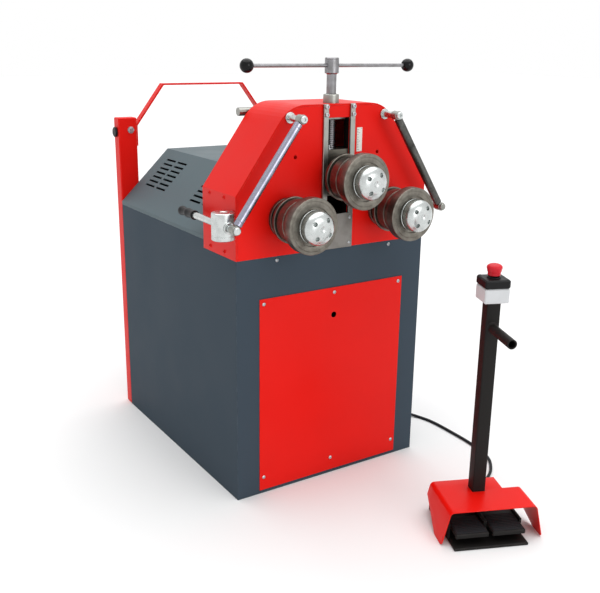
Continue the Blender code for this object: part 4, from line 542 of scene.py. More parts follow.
def add_block(bm, low, high, matrix=Matrix(), edge=0.0, steps=2):
    """Block between two corners with its edges rounded."""
    size = Vector(high) - Vector(low)
    middle = (Vector(high) + Vector(low)) / 2
    place = matrix @ Matrix.Translation(middle) @ Matrix.Diagonal((*size, 1))
    made = bmesh.ops.create_cube(bm, size=1, matrix=place)
    if edge:
        edges = list({side for vertex in made["verts"] for side in vertex.link_edges})
        bmesh.ops.bevel(bm, geom=edges, offset=edge, segments=steps, profile=0.5,
                        affect="EDGES")


def piece(name, bm, finish, body, matrix=Matrix(), replaced=()):
    """A finished piece from a bmesh: mesh, shading, material, body and nodes it
    stands for."""
    bmesh.ops.remove_doubles(bm, verts=bm.verts, dist=WELD)
    bmesh.ops.recalc_face_normals(bm, faces=bm.faces)
    mesh = bpy.data.meshes.new(name)
    bm.to_mesh(mesh)
    bm.free()
    mesh.shade_smooth()
    mesh.set_sharp_from_angle(angle=SOFT_ANGLE)
    made = bpy.data.objects.new(name, mesh)
    bpy.context.scene.collection.objects.link(made)
    made.matrix_world = matrix
    mesh.materials.append(FINISHES[finish])
    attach(made, body)
    if replaced:
        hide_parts(*replaced)
    return made


def carve(target, bm, finish):
    """Cut a bmesh, given in the target's own frame, out of the target for good. The cut
    faces take the finish."""
    mesh = bpy.data.meshes.new("carving")
    bmesh.ops.recalc_face_normals(bm, faces=bm.faces)
    for face in bm.faces:
        face.material_index = 1
    bm.to_mesh(mesh)
    bm.free()
    for item in (mesh, target.data):
        item.materials.clear()
        item.materials.append(FINISHES[finish[0]])
        item.materials.append(FINISHES[finish[1]])
    tool = bpy.data.objects.new("carving", mesh)
    bpy.context.scene.collection.objects.link(tool)
    tool.matrix_world = target.matrix_world.copy()
    step = target.modifiers.new("carving", "BOOLEAN")
    step.operation = "DIFFERENCE"
    step.solver = "EXACT"
    step.object = tool
    bpy.context.view_layer.update()
    cut = bpy.data.meshes.new_from_object(
        target.evaluated_get(bpy.context.evaluated_depsgraph_get()))
    target.modifiers.clear()
    cut.name = target.name
    target.data = cut
    cut.shade_smooth()
    cut.set_sharp_from_angle(angle=SOFT_ANGLE)
    bpy.data.objects.remove(tool, do_unlink=True)
    bpy.data.meshes.remove(mesh)


def turned_piece(name, rings, finish, body, direction, place, segments=FINE,
                 closed=False, replaced=()):
    """A single turned piece along a direction."""
    bm = bmesh.new()
    add_turned(bm, rings, segments=segments, closed=closed)
    return piece(name, bm, finish, body, facing(direction, place), replaced)


def span(node):
    """Centre, lowest and highest corner of a CAD node."""
    low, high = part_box(node)
    return (low + high) / 2, low, high


def arc(centre, radius, start, end, steps):
    """Points of a rounded edge as (radius, height) pairs."""
    points = []
    for step in range(steps + 1):
        angle = math.radians(start + (end - start) * step / steps)
        points.append((centre[0] + radius * math.cos(angle),
                       centre[1] + radius * math.sin(angle)))
    return points


# Pieces

def button_head(bm, matrix, radius, height):
    """Button-head screw with its hexagon socket."""
    socket = radius * 0.42
    dome = [(radius * math.cos(angle), height * math.sin(angle))
            for angle in (math.radians(turn) for turn in (0, 22, 45, 64))]
    floor = height * 0.30
    add_turned(bm, [(radius, -OVERLAP), *dome, (socket * 1.3, height),
                    (socket, height * 0.97, True), (socket, floor, True), (0, floor)],
               matrix, SMALL)


def cap_head(bm, matrix, radius, height):
    """Socket cap screw with a chamfered head and its hexagon socket."""
    socket = radius * 0.52
    edge = radius * 0.12
    floor = height * 0.45
    add_turned(bm, [(radius, -OVERLAP), (radius, height - edge), (radius - edge, height),
                    (socket * 1.24, height), (socket, height - edge, True),
                    (socket, floor, True), (0, floor)], matrix, SMALL)


def hexagon_head(bm, matrix, half, height):
    """Hexagon bolt with a washer and a chamfered top."""
    washer = half * 1.45
    thickness = half * 0.18
    add_turned(bm, [(washer, -OVERLAP), (washer, thickness), (half, thickness, True),
                    (half, height * 0.86, True), (half * 0.93, height), (0, height)],
               matrix, SMALL)


def heads(name, make, places, direction, body, finish, slot, *measures):
    """One piece holding a group of like screw heads."""
    bm = bmesh.new()
    for place in places:
        make(bm, facing(direction, place), *measures)
    return piece(name, bm, finish, body)


def dress_roller(prefix, body):
    """Inner ring, outer ring and domed nut of one bending roller."""
    own = sizes("rollers")
    bore = 0.0253
    middle, low, high = span(prefix + "_inner_ring")
    long = high.y - low.y
    hub, neck, drum = 0.070, 0.060, 0.065
    hub_end, neck_end, chamfer, easing, dip = 0.012, 0.018, 0.0015, 0.0008, 0.0012
    bead = long * 0.62
    half = own.bead_width / 2
    rise = own.bead_rise
    rings = [(bore, 0), (hub - chamfer, 0), (hub, chamfer), (hub, hub_end - chamfer),
             (hub - dip, hub_end), (neck, hub_end), (neck, neck_end),
             (drum - easing, neck_end), (drum, neck_end + easing), (drum, bead - half),
             (drum + rise, bead - half * 0.5), (drum + rise, bead + half * 0.5),
             (drum, bead + half), (drum, long - 0.0055), (drum - dip, long - 0.005),
             (drum - dip, long - 0.0035), (drum, long - 0.003), (drum, long), (bore, long)]
    turned_piece(prefix + "_ring_back", rings, "roller", body, FRONT,
                 (middle.x, high.y, middle.z), closed=True,
                 replaced=[prefix + "_inner_ring"])

    middle, low, high = span(prefix + "_outer_ring")
    long = high.y - low.y
    radius = (high.x - low.x) / 2
    edge = own.edge
    recess, lip = 0.056, 0.0022
    line_outer, line_depth, line_inner = 0.0725, 0.0008, 0.0705
    line = (line_outer + line_inner) / 2
    rings = [(bore, 0), *arc((radius - edge, edge), edge, -90, 0, 8),
             *arc((radius - lip, long - lip), lip, 0, 90, 4),
             (line_outer, long), (line, long - line_depth), (line_inner, long),
             *arc((recess + dip, long - dip), dip, 90, 180, 2),
             (recess, long - own.recess), (bore, long - own.recess)]
    turned_piece(prefix + "_ring_front", rings, "roller", body, FRONT,
                 (middle.x, high.y, middle.z), closed=True,
                 replaced=[prefix + "_outer_ring"])

    middle, low, high = span(prefix + "_dome_nut")
    tall = high.y - low.y
    radius, crown, foot, groove = 0.049, 0.018, 0.002, 0.0014
    rings = [(radius - foot, 0), (radius, foot), (radius, 0.006),
             (radius - groove, 0.0068), (radius - groove, 0.0086), (radius, 0.0094)]
    dome_steps = 12
    for step in range(dome_steps + 1):
        angle = math.pi / 2 * step / dome_steps
        rings.append((crown + (radius - crown) * math.cos(angle),
                      own.skirt + (tall - own.skirt) * math.sin(angle)))
    centre, dimple = 0.0095, 0.0030
    rings += [(centre, tall), (0.0078, tall - dimple / 2), (0, tall - dimple)]
    nut = turned_piece(prefix + "_nut", rings, "chrome", body, FRONT,
                       (middle.x, high.y, middle.z), replaced=[prefix + "_dome_nut"])
    tools = bmesh.new()
    hole, deep, flare_start, past, first_turn = own.hole_radius, 0.014, 0.0060, 0.010, -35
    for quarter in range(4):
        angle = math.radians(first_turn + 90 * quarter)
        place = Matrix.Translation((own.hole_circle * math.cos(angle),
                                    own.hole_circle * math.sin(angle), 0))
        add_turned(tools, [(0, tall - deep), (hole, tall - deep), (hole, tall - flare_start),
                           (hole * 1.5, tall + past), (0, tall + past)], place, MEDIUM)
    carve(nut, tools, ("chrome", "oxide"))


def dress_rollers():
    """All three bending rollers."""
    for prefix, body in (("upper", "upper_roller"), ("lower_left", "left_roller"),
                         ("lower_right", "right_roller")):
        dress_roller(prefix, body)


def dress_press():
    """Press screw with its hub, the T handle, its ball knobs and the nut's collar."""
    middle, low, high = span("press_screw")
    place = (middle.x, middle.y, low.z)
    tall = high.z - low.z
    hub, plain = 0.045, 0.110
    under = tall - hub
    root, crest, start, pitch = 0.0136, 0.015, 0.020, 0.006
    rings = [(0, 0), (0.018, 0), (0.018, 0.018), (root, 0.018), (root, start),
             (root, under - plain), (crest, under - 0.1085), (crest, under - 0.004),
             *arc((0.019, under - 0.004), 0.004, 180, 90, 4), (0.0195, under),
             (0.021, under + 0.0015), (0.021, tall - 0.0055), (0.0202, tall - 0.005),
             (0.0202, tall - 0.004), (0.021, tall - 0.0035), (0.021, tall - 0.002),
             (0.019, tall), (0.0040, tall), (0.0022, tall - 0.0020), (0, tall - 0.0028)]
    bm = bmesh.new()
    add_turned(bm, rings, facing(UP, place))
    add_thread(bm, facing(UP, place), root, crest, start, under - plain, pitch)
    piece("press_screw_turned", bm, "spindle", "screw",
          replaced=["press_screw"])
    middle, low, high = span("handle_bar")
    half = (high.x - low.x) / 2
    radius = 0.0055
    rings = [(0, 0), (radius - 0.001, 0), (radius, 0.001), (radius, 2 * half - 0.001),
             (radius - 0.001, 2 * half), (0, 2 * half)]
    turned_piece("handle_bar_drawn", rings, "spindle", "screw", RIGHT,
                 (low.x, middle.y, middle.z), MEDIUM, replaced=["handle_bar"])
    radius, reach = 0.020, 0.288
    steps, first, sweep, groove_step, groove = 24, -56, 146, 9, 0.00035
    for label, direction in (("left", LEFT), ("right", RIGHT)):
        middle = span("ball_knob_" + label)[0]
        centre = Vector((math.copysign(reach, direction.x), middle.y, middle.z))
        face = -radius * 0.86
        rings = [(0.0058, face), (0.0096, face), (0.0104, face + 0.0006)]
        for step in range(steps + 1):
            angle = math.radians(first + sweep * step / steps)
            dip = groove if step == groove_step else 0
            rings.append(((radius - dip) * math.cos(angle), (radius - dip) * math.sin(angle)))
        rings[-1] = (0, radius)
        turned_piece("ball_knob_" + label + "_polished", rings, "phenolic", "screw",
                     direction, centre, MEDIUM,
                     replaced=["ball_knob_" + label])
    middle, low, high = span("screw_nut")
    top, collar, bore, sunk = high.z, 0.024, 0.0155, 0.045
    bm = bmesh.new()
    add_turned(bm, [(bore, top - sunk), (collar, top - sunk), (collar, top - 0.0045),
                    *arc((collar - 0.004, top - 0.004), 0.004, 0, 90, 5),
                    (0.0170, top), (bore, top - 0.0015)],
               Matrix.Translation((0, middle.y, 0)), closed=True)
    add_block(bm, (low.x, low.y, low.z), (high.x, high.y, top - 0.0315), edge=0.001)
    piece("screw_nut_collar", bm, "ground", "frame", replaced=["screw_nut"])


def guide_line(label):
    """Foot and top of a side guide."""
    across = {"left": -0.386, "right": 0.366}[label]
    front = -0.495
    return (Vector((across, front, 0.882)),
            Vector((math.copysign(0.171, across), front, 1.176)))


def dress_guides():
    """Side guides: sleeves, axles with eyes, pins, the barrel, rod and grip."""
    eye, sleeve, bore, axle, groove = 0.0135, 0.0125, 0.00835, 0.008, 0.0006
    play = eye + 0.0006
    for label in ("left", "right"):
        foot, top = guide_line(label)
        line = top - foot
        long = line.length
        end_rings = [(bore, play), (sleeve - 0.0014, play), (sleeve, play + 0.0014),
                     (sleeve, play + 0.012), (sleeve - groove, play + 0.0126),
                     (sleeve - groove, play + 0.0140), (sleeve, play + 0.0146)]
        rings = end_rings + [(radius, long - height) for radius, height in end_rings[::-1]]
        # The right sleeve takes the darker copy of the bar finish: painted shade.
        turned_piece("guide_sleeve_" + label + "_turned", rings,
                     "bar" if label == "left" else "painted_shade_bar", label + "_sleeve",
                     line, foot, MEDIUM, closed=True,
                     replaced=["guide_sleeve_" + label])
        bm = bmesh.new()
        add_turned(bm, [(0, 0), (axle, 0), (axle, long), (0, long)],
                   facing(line, foot), MEDIUM)
        for end in (foot, top):
            add_turned(bm, [(0, -0.012), (eye - 0.001, -0.012), (eye, -0.011), (eye, 0.011),
                            (eye - 0.001, 0.012), (0, 0.012)], facing(FRONT, end), MEDIUM)
        piece("guide_axle_" + label + "_eyes", bm, "ground", "frame",
              replaced=["guide_axle_" + label])
        middle, low, high = span("guide_top_pin_" + label)
        tall = high.y - low.y
        rings = [(0, 0), (0.0155, 0), (0.016, 0.0005), (0.016, 0.0045), (0.0155, 0.005),
                 (0.010, 0.005), (0.010, 0.047), (0.0065, 0.0475), (0.0065, tall - 0.009),
                 (0.0110, tall - 0.007), (0.0110, tall - 0.0018), (0.0092, tall),
                 (0.0044, tall), (0.0034, tall - 0.004, True), (0, tall - 0.004)]
        turned_piece("guide_top_pin_" + label + "_turned", rings, "chrome", "frame",
                     FRONT, (middle.x, high.y, middle.z), MEDIUM,
                     replaced=["guide_top_pin_" + label])

    middle, low, high = span("guide_foot_left")
    radius = 0.034
    centre = (-0.386, -0.428)
    bm = bmesh.new()
    rings = [(0, low.z), (radius - 0.004, low.z), *arc((radius - 0.004, low.z + 0.004), 0.004,
                                                         -90, 0, 5),
             (radius, low.z + 0.012), (radius - 0.0008, low.z + 0.0126),
             (radius - 0.0008, low.z + 0.0140), (radius, low.z + 0.0146),
             *arc((radius - 0.004, high.z - 0.004), 0.004, 0, 90, 5),
             (0.012, high.z), (0.0108, high.z - 0.0012), (0, high.z - 0.0012)]
    add_turned(bm, rings, Matrix.Translation((*centre, 0)))
    add_turned(bm, [(0.0106, 0.0), (0.0165, 0.0), (0.0165, 0.0370), (0.0152, 0.0382),
                    (0.0106, 0.0382)], facing(FRONT, (*centre, middle.z)), MEDIUM, closed=True)
    add_block(bm, (-0.3553, -0.435, 0.852), (-0.3503, -0.383, 0.912), edge=0.001)
    piece("guide_foot_barrel", bm, "chrome", "frame", replaced=["guide_foot_left"])

    for node, name, finish, slot in (("lock_rod", "lock_rod_drawn", "chrome", "bright_steel"),
                                     ("lock_grip", "lock_grip_moulded", "black",
                                      "black_plastic")):
        middle, low, high = span(node)
        long = high.y - low.y
        if node == "lock_rod":
            rings = [(0, 0), (0.0090, 0), (0.010, 0.001), (0.010, long - 0.0385),
                     (0.0065, long - 0.0380), (0.0065, long - 0.010), (0.0105, long - 0.008),
                     (0.0110, long - 0.006), (0.0110, long - 0.002), (0.0090, long),
                     (0, long)]
        else:
            rings = [(0, 0), (0.0105, 0), *arc((0.0115, 0.003), 0.003, -80, 0, 4)]
            steps = 16
            for step in range(steps + 1):
                share = step / steps
                swell = 0.0125 + 0.0020 * math.cos(math.tau * share) ** 2
                groove = 0.0006 if step % 4 == 2 else 0
                rings.append((swell - groove, 0.006 + (long - 0.010) * share))
            rings += [(0.0145, long - 0.003), (0.0140, long), (0, long)]
        turned_piece(name, rings, finish, "foot_lock", FRONT,
                     (middle.x, high.y, middle.z), MEDIUM, replaced=[node])


def dress_bearings():
    """Lower roller bearings with their flange screws, and the ram's grease nipple."""
    own = sizes("fasteners")
    bore, flange, boss, thick, tall = 0.0303, 0.060, 0.046, 0.012, 0.0320
    screw_circle, screws = 0.0532, 6
    for label in ("left", "right"):
        middle = span("bearing_flange_" + label)[0]
        centre = Vector((middle.x, -0.4353, middle.z))
        rings = [(bore, 0), (flange - 0.0006, 0), (flange, 0.0006), (flange, thick - 0.0008),
                 (flange - 0.0008, thick), (boss + 0.0015, thick), (boss, thick + 0.0015),
                 (boss, tall - 0.0025), (boss - 0.0025, tall), (0.0372, tall),
                 (0.0362, tall - 0.0010), (0.0352, tall), (bore, tall)]
        turned_piece("bearing_flange_" + label + "_turned", rings, "roller", "frame",
                     FRONT, centre, closed=True,
                     replaced=["bearing_flange_" + label])
        places = []
        for step in range(screws):
            angle = math.tau * (step + 0.5) / screws
            places.append(centre + Vector((screw_circle * math.cos(angle), -thick,
                                           screw_circle * math.sin(angle))))
        heads("bearing_screws_" + label, cap_head, places, FRONT, "frame", "oxide",
              "gear_steel", own.flange_cap_radius, own.flange_cap_radius)
    top = span("ram_block")[2].z
    rings = [(0.0045, -0.0005, True), (0.0045, 0.004, True), (0.0036, 0.0050), (0.0024, 0.006),
             (0.0022, 0.0085), (0.0033, 0.0095), (0.0033, 0.0115), (0.0018, 0.0130),
             (0, 0.0130)]
    turned_piece("grease_nipple", rings, "zinc", "ram", UP,
                 (-0.024, -0.423, top), SMALL)


def dress_fasteners():
    """Screws of the panel, head, gib strips, posts and foot block."""
    own = sizes("fasteners")
    button = (own.button_radius, own.button_height)
    side, panel_face, head_face, gib_face = 0.35, -0.4373, -0.435, -0.4433
    post_front, post_rear = 0.4353, 0.4803
    both = (-1, 1)
    groups = (
        ("panel_screws", button_head,
         [(across, panel_face, up) for across in (-0.257, 0.0, 0.257) for up in (0.056, 0.632)],
         FRONT, "zinc", "bright_steel", button),
        ("head_seat_screws", button_head,
         [(across * 0.211, head_face, 0.762) for across in both],
         FRONT, "zinc", "bright_steel", button),
        ("head_side_screws_left", button_head,
         [(-side, along, up) for along in (-0.366, -0.276) for up in (0.791, 0.952)],
         LEFT, "red", "red_paint", button),
        ("head_side_screws_right", button_head,
         [(side, along, up) for along in (-0.366, -0.276) for up in (0.791, 0.952)],
         RIGHT, "red", "red_paint", button),
        ("gib_screws", cap_head,
         [(across * 0.0485, gib_face, up) for across in both for up in (1.180, 1.203)]
         + [(across * 0.0485, gib_face, 0.905) for across in both],
         FRONT, "zinc", "bright_steel", (own.cap_radius, own.cap_height * 0.75)),
        ("slot_cover_screws", button_head,
         [(across * 0.046, gib_face, up) for across in both for up in (0.789, 0.868)],
         FRONT, "zinc", "bright_steel", (own.button_radius * 0.8, own.button_height * 0.8)),
        ("post_bolts", hexagon_head, [(across * 0.3040, post_front, 1.069) for across in both],
         FRONT, "zinc", "bright_steel", (own.hexagon, 0.0070)),
        ("post_rear_bolts", hexagon_head,
         [(across * 0.315, post_rear, up) for across in both for up in (0.10, 0.42, 0.74)],
         REAR, "zinc", "bright_steel", (own.hexagon, 0.0070)),
        ("foot_block_screw", cap_head, [(0.383, -0.409, 0.882)],
         RIGHT, "zinc", "bright_steel", (own.cap_radius, 0.0045)),
    )
    for name, make, places, direction, finish, slot, measures in groups:
        heads(name, make, places, direction, "frame", finish, slot, *measures)
    knob = [(0.0055, -OVERLAP), (0.0055, 0.0015), (0.0165, 0.0020), (0.0180, 0.0035),
            (0.0180, 0.0080), (0.0160, 0.0098), (0, 0.0102)]
    turned_piece("post_knob", knob, "black", "frame", LEFT,
                 (-side, 0.4578, 1.062), MEDIUM)


def dress_scale():
    """White stroke scale beside the slot, with its ticks and two rivets."""
    low, high = Vector((0.0690, -0.4362, 1.067)), Vector((0.0890, -0.435, 1.139))
    bm = bmesh.new()
    add_block(bm, low, high, edge=0.0004, steps=1)
    piece("stroke_scale", bm, "scale", "frame")
    bm = bmesh.new()
    ticks, first, pitch, margin, half = 13, 0.006, 0.005, 0.0008, 0.0005
    for step in range(ticks):
        long = 0.0105 if step % 5 == 0 else 0.0060
        up = low.z + first + pitch * step
        add_block(bm, (low.x + margin, low.y - 0.00015, up - half),
                  (low.x + margin + long, low.y + 0.0002, up + half))
    piece("stroke_scale_ticks", bm, "ink", "frame")
    bm = bmesh.new()
    for up in (low.z + 0.0028, high.z - 0.0028):
        add_turned(bm, [(0.0016, 0), (0.0015, 0.0005), (0.0008, 0.0009), (0, 0.0010)],
                   facing(FRONT, (low.x + 0.0165, low.y, up)), SMALL)
    piece("stroke_scale_rivets", bm, "zinc", "frame")


def dress_console():
    """Foot console: column with its peg, treads, box screws, the stop button's collar and mushroom
    head.
    """
    own = sizes("console")
    lid_top = 0.7636
    bm = bmesh.new()
    half, corner = own.column / 2, own.corner
    low, high = 0.0603, 0.696
    outline = []
    for quarter, (side_x, side_y) in enumerate(((1, 1), (-1, 1), (-1, -1), (1, -1))):
        outline += arc((side_x * (half - corner), side_y * (half - corner)), corner,
                       90 * quarter, 90 * quarter + 90, 5)
    lower = [bm.verts.new((x, y, low)) for x, y in outline]
    upper = [bm.verts.new((x, y, high)) for x, y in outline]
    for step, before in enumerate(range(-1, len(outline) - 1)):
        bm.faces.new((lower[before], lower[step], upper[step], upper[before]))
    bm.faces.new(upper)
    bm.faces.new(list(reversed(lower)))
    inset, peg_height, peg_reach, bored = 0.001, 0.620, 0.155, 0.060
    peg = Matrix.Translation((0, -half + inset, peg_height)) @ facing(FRONT)
    long = peg_reach - half + inset
    add_turned(bm, [(0, 0), (0.0172, 0), (0.0166, 0.0016), (0.0150, 0.0030), (0.014, 0.0036),
                    (0.014, long - 0.0006), (0.0134, long), (0.0111, long),
                    (0.0105, long - 0.0006), (0.0105, long - bored), (0, long - bored)],
               peg, MEDIUM)
    piece("console_column_tube", bm, "console", "frame", CONSOLE,
          ["console_column"])
    front, rear, first_rib, margin, rib_half = -0.141, -0.052, -0.137, 0.003, 0.0016
    for label, left, right in (("left", -0.1085, -0.0165), ("right", 0.0025, 0.0945)):
        bm = bmesh.new()
        add_block(bm, (left, front, 0.0448), (right, rear, 0.0462), edge=0.0006)
        for rib in range(int((rear - front) / own.rib_pitch)):
            along = first_rib + own.rib_pitch * rib
            add_block(bm, (left + margin, along - rib_half, 0.0458),
                      (right - margin, along + rib_half, 0.0474), edge=0.0007)
        piece("pedal_tread_" + label, bm, "rubber", label + "_pedal", CONSOLE)
    bm = bmesh.new()
    for across in (-0.029, 0.029):
        for along in (-0.029, 0.029):
            button_head(bm, Matrix.Translation((across, along, lid_top)), 0.0038, 0.0014)
    piece("stop_lid_screws", bm, "oxide", "frame", CONSOLE)
    bm = bmesh.new()
    add_turned(bm, [(0.0160, 0), (0.0192, 0), (0.0198, 0.0006), (0.0194, 0.0024),
                    (0.0175, 0.0034), (0.0160, 0.0034)],
               Matrix.Translation((0, 0, lid_top)), MEDIUM, closed=True)
    piece("stop_collar", bm, "black", "frame", CONSOLE)
    head = CONSOLE @ Matrix.Translation((0, 0, 0.780))
    rim, rim_top, crown, steps = 0.0220, 0.0135, 0.0105, 10
    bm = bmesh.new()
    rings = [(0.0118, -0.0095), (0.0176, -0.0095), (0.0182, -0.0088), (0.0182, -0.0010),
             (0.0186, 0), (0.0196, 0.0008), (0.0212, 0.0085), (rim, 0.0105), (rim, rim_top)]
    for step in range(1, steps + 1):
        angle = math.pi / 2 * step / steps
        rings.append((rim * math.cos(angle), rim_top + crown * math.sin(angle)))
    rings[-1] = (0, rim_top + crown)
    add_turned(bm, rings)
    piece("stop_mushroom_head", bm, "button", "button_head", head,
          ["stop_mushroom"])


def dress_guard():
    """Foot console's guard: one bent sheet with rounded bends and rounded front corners."""
    top, sheet = 0.105, 0.0025
    left, right, splay, foot = -0.124, 0.138, 0.024, 0.001
    front, rear, wing, drop = -0.125, 0.057, 0.060, 0.040
    hole, notch_x, notch_y = 0.0203, 0.078, -0.010
    bend, corner = 0.014, 0.012
    lean = math.atan2(splay, top - foot)
    turn = math.pi / 2 - lean
    reach = bend * math.tan(turn / 2)
    crown = []
    steps = 6
    for side, across in ((-1, left), (1, right)):
        points = []
        for step in range(steps + 1):
            angle = turn * step / steps
            points.append((across - side * (reach - bend * math.sin(angle)),
                           top - bend * (1 - math.cos(angle))))
        crown.append(points)
    flats = (-0.07, -hole, hole, notch_x, 0.10)
    columns = [*reversed(crown[0]), *((across, top) for across in flats), *crown[1]]
    ends = [(left, -1), (right, 1)]
    rows = sorted({front, *(front + corner * (1 - math.cos(math.radians(turn_by)))
                            for turn_by in (15, 30, 45, 60, 75, 90)),
                   -0.09, front + wing, -hole, notch_y, hole, rear})
    slant = (top - drop - foot) / (rear - front - wing)
    bm = bmesh.new()
    grid = []
    for along in rows:
        level = foot + max(0, (along - front - wing) * slant)
        near = along - front
        if near < corner:
            level += corner - math.sqrt(max(corner ** 2 - (corner - near) ** 2, 0))
        line = []
        for place, (across, side) in zip((columns[0], columns[-1]), ends):
            wings = []
            for share in (0, 0.33, 0.66):
                height = level + (place[1] - level) * share
                wings.append((across + side * splay * (top - height) / (top - foot), height))
            line.append(wings)
        points = [*line[0], *columns, *reversed(line[1])]
        grid.append([bm.verts.new((x, along, z)) for x, z in points])
    count = len(grid[0])
    for row, (lower, upper) in enumerate(zip(grid, grid[1:])):
        middle = (rows[row] + rows[row + 1]) / 2
        for step in range(count - 1):
            across = (lower[step].co.x + lower[step + 1].co.x) / 2
            if middle > notch_y and across > notch_x:
                continue
            if abs(across) < hole and abs(middle) < hole:
                continue
            bm.faces.new((lower[step], lower[step + 1], upper[step + 1], upper[step]))
    bmesh.ops.delete(bm, geom=[v for v in bm.verts if not v.link_faces], context="VERTS")
    made = piece("console_guard_bent", bm, "red", "frame", CONSOLE,
                 ["console_guard"])
    if sum(face.normal.z for face in made.data.polygons) < 0:
        made.data.flip_normals()
    solid = made.modifiers.new("sheet", "SOLIDIFY")
    solid.thickness = sheet
    solid.offset = -1
    solid.use_even_offset = True
    soft = made.modifiers.new("soft_edge", "BEVEL")
    soft.width = 0.0006
    soft.segments = 2
    soft.limit_method = "ANGLE"


def dress_gland():
    """Dome-nut gland on the cabinet's side and the ribbed strain relief on the console."""
    middle = span("cable_gland")[0]
    place = (0.35, middle.y, middle.z)
    rings = [(0.0105, -0.003), (0.0118, 0.0003), (0.0118, 0.0055, True), (0.0110, 0.0065),
             (0.0110, 0.0075), (0.0112, 0.0080, True), (0.0112, 0.0150, True),
             (0.0104, 0.0175), (0.0094, 0.0205), (0.0080, 0.0225), (0.0066, 0.0240),
             (0.0053, 0.0243), (0, 0.0243)]
    gland = turned_piece("cable_gland_nut", rings, "black", "frame", RIGHT,
                         place, MEDIUM, replaced=["cable_gland"])
    foot = CONSOLE @ Vector((0.050, 0.075, 0.022))
    rings = [(0, 0.0003), (0.0090, 0.0003)]
    ribs, first, pitch, widest, taper = 5, 0.0030, 0.0034, 0.0089, 0.00035
    for step in range(ribs):
        start = first + pitch * step
        radius = widest - taper * step
        rings += [(radius, start), (radius - 0.0010, start + 0.0005),
                  (radius - 0.0010, start + 0.0014), (radius - 0.0003, start + 0.0019)]
    rings += [(0.0066, 0.0196), (0.0053, 0.0203), (0, 0.0203)]
    relief = turned_piece("strain_relief_ribbed", rings, "rubber", "frame",
                          CONSOLE.to_3x3() @ REAR, foot, MEDIUM, replaced=["strain_relief"])
    return gland, relief


def dress_cord():
    """Cord from the cabinet's gland over the floor to the console."""
    with_pieces = dress_gland()
    diameter = sizes("console").cord
    knots = [Vector(point) for point in CORD_ROUTE]
    line = bpy.data.curves.new("foot_console_cord", "CURVE")
    line.dimensions = "3D"
    line.bevel_depth = diameter / 2
    line.bevel_resolution = 6
    line.resolution_u = 12
    line.use_fill_caps = True
    spline = line.splines.new("BEZIER")
    spline.bezier_points.add(len(knots) - 1)
    ends = [knots[0] * 2 - knots[1], *knots, knots[-1] * 2 - knots[-2]]
    for point, before, knot, after in zip(spline.bezier_points, ends, knots, ends[2:]):
        reach = (after - before) / 6
        point.co = knot
        point.handle_left = knot - reach
        point.handle_right = knot + reach
    cord = bpy.data.objects.new("foot_console_cord", line)
    bpy.context.scene.collection.objects.link(cord)
    line.materials.append(FINISHES["rubber"])
    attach(cord, "frame")
    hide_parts("foot_cord")


# Stage

def soft_light(name, direction, strength, spread):
    """Even light from a wide panel far away, along a direction."""
    lamp = bpy.data.lights.new(name, "SUN")
    lamp.energy = strength
    lamp.angle = spread
    item = bpy.data.objects.new(name, lamp)
    bpy.context.scene.collection.objects.link(item)
    middle, distance = Vector((0, -0.3, 0.8)), 3
    item.location = middle - distance * Vector(direction)
    item.rotation_euler = Vector(direction).to_track_quat("-Z", "Y").to_euler()


def seen_directly(tree):
    """1 for rays from the camera, a reflection or glass, and 0 for the light that falls."""
    path = add_node(tree, "ShaderNodeLightPath")
    first = add_node(tree, "ShaderNodeMath",
                     {0: path.outputs["Is Camera Ray"], 1: path.outputs["Is Glossy Ray"]},
                     operation="MAXIMUM")
    both = add_node(tree, "ShaderNodeMath",
                    {0: first.outputs["Value"], 1: path.outputs["Is Transmission Ray"]},
                    operation="MAXIMUM")
    return both.outputs["Value"]


def build_floor(size):
    """Pale floor that reads white and keeps the shadow."""
    bm = bmesh.new()
    bmesh.ops.create_grid(bm, x_segments=1, y_segments=1, size=size / 2)
    mesh = bpy.data.meshes.new("studio_floor")
    bm.to_mesh(mesh)
    bm.free()
    floor = bpy.data.objects.new("studio_floor", mesh)
    bpy.context.scene.collection.objects.link(floor)
    # Matt white lacquered board: an even pale ground, faintly clouded.
    cloud_size = 0.4
    material, tree, place = new_material("matt_white_floor_board")
    cloud = add_node(tree, "ShaderNodeTexNoise",
                     {"Vector": place, "Scale": 1 / cloud_size, "Detail": 2.0, "Roughness": 0.5})
    tone = add_node(tree, "ShaderNodeMix",
                    {0: cloud.outputs["Fac"], 6: linear("EDEDED"), 7: linear("F0F0F0")},
                    data_type="RGBA")
    board = add_node(tree, "ShaderNodeBsdfDiffuse", {"Color": tone.outputs[2]})
    add_node(tree, "ShaderNodeOutputMaterial", {"Surface": board.outputs["BSDF"]})
    mesh.materials.append(material)


def build_room(level):
    """Even white room light."""
    world = bpy.data.worlds.new("studio_room")
    world.use_nodes = True
    tree = world.node_tree
    tree.nodes.clear()
    strength = add_node(tree, "ShaderNodeMapRange",
                        {"Value": seen_directly(tree), "To Min": level, "To Max": 1.0})
    light = add_node(tree, "ShaderNodeBackground",
                     {"Color": (1.0, 1.0, 1.0, 1.0), "Strength": strength.outputs["Result"]})
    add_node(tree, "ShaderNodeOutputWorld", {"Surface": light.outputs["Background"]})
    bpy.context.scene.world = world


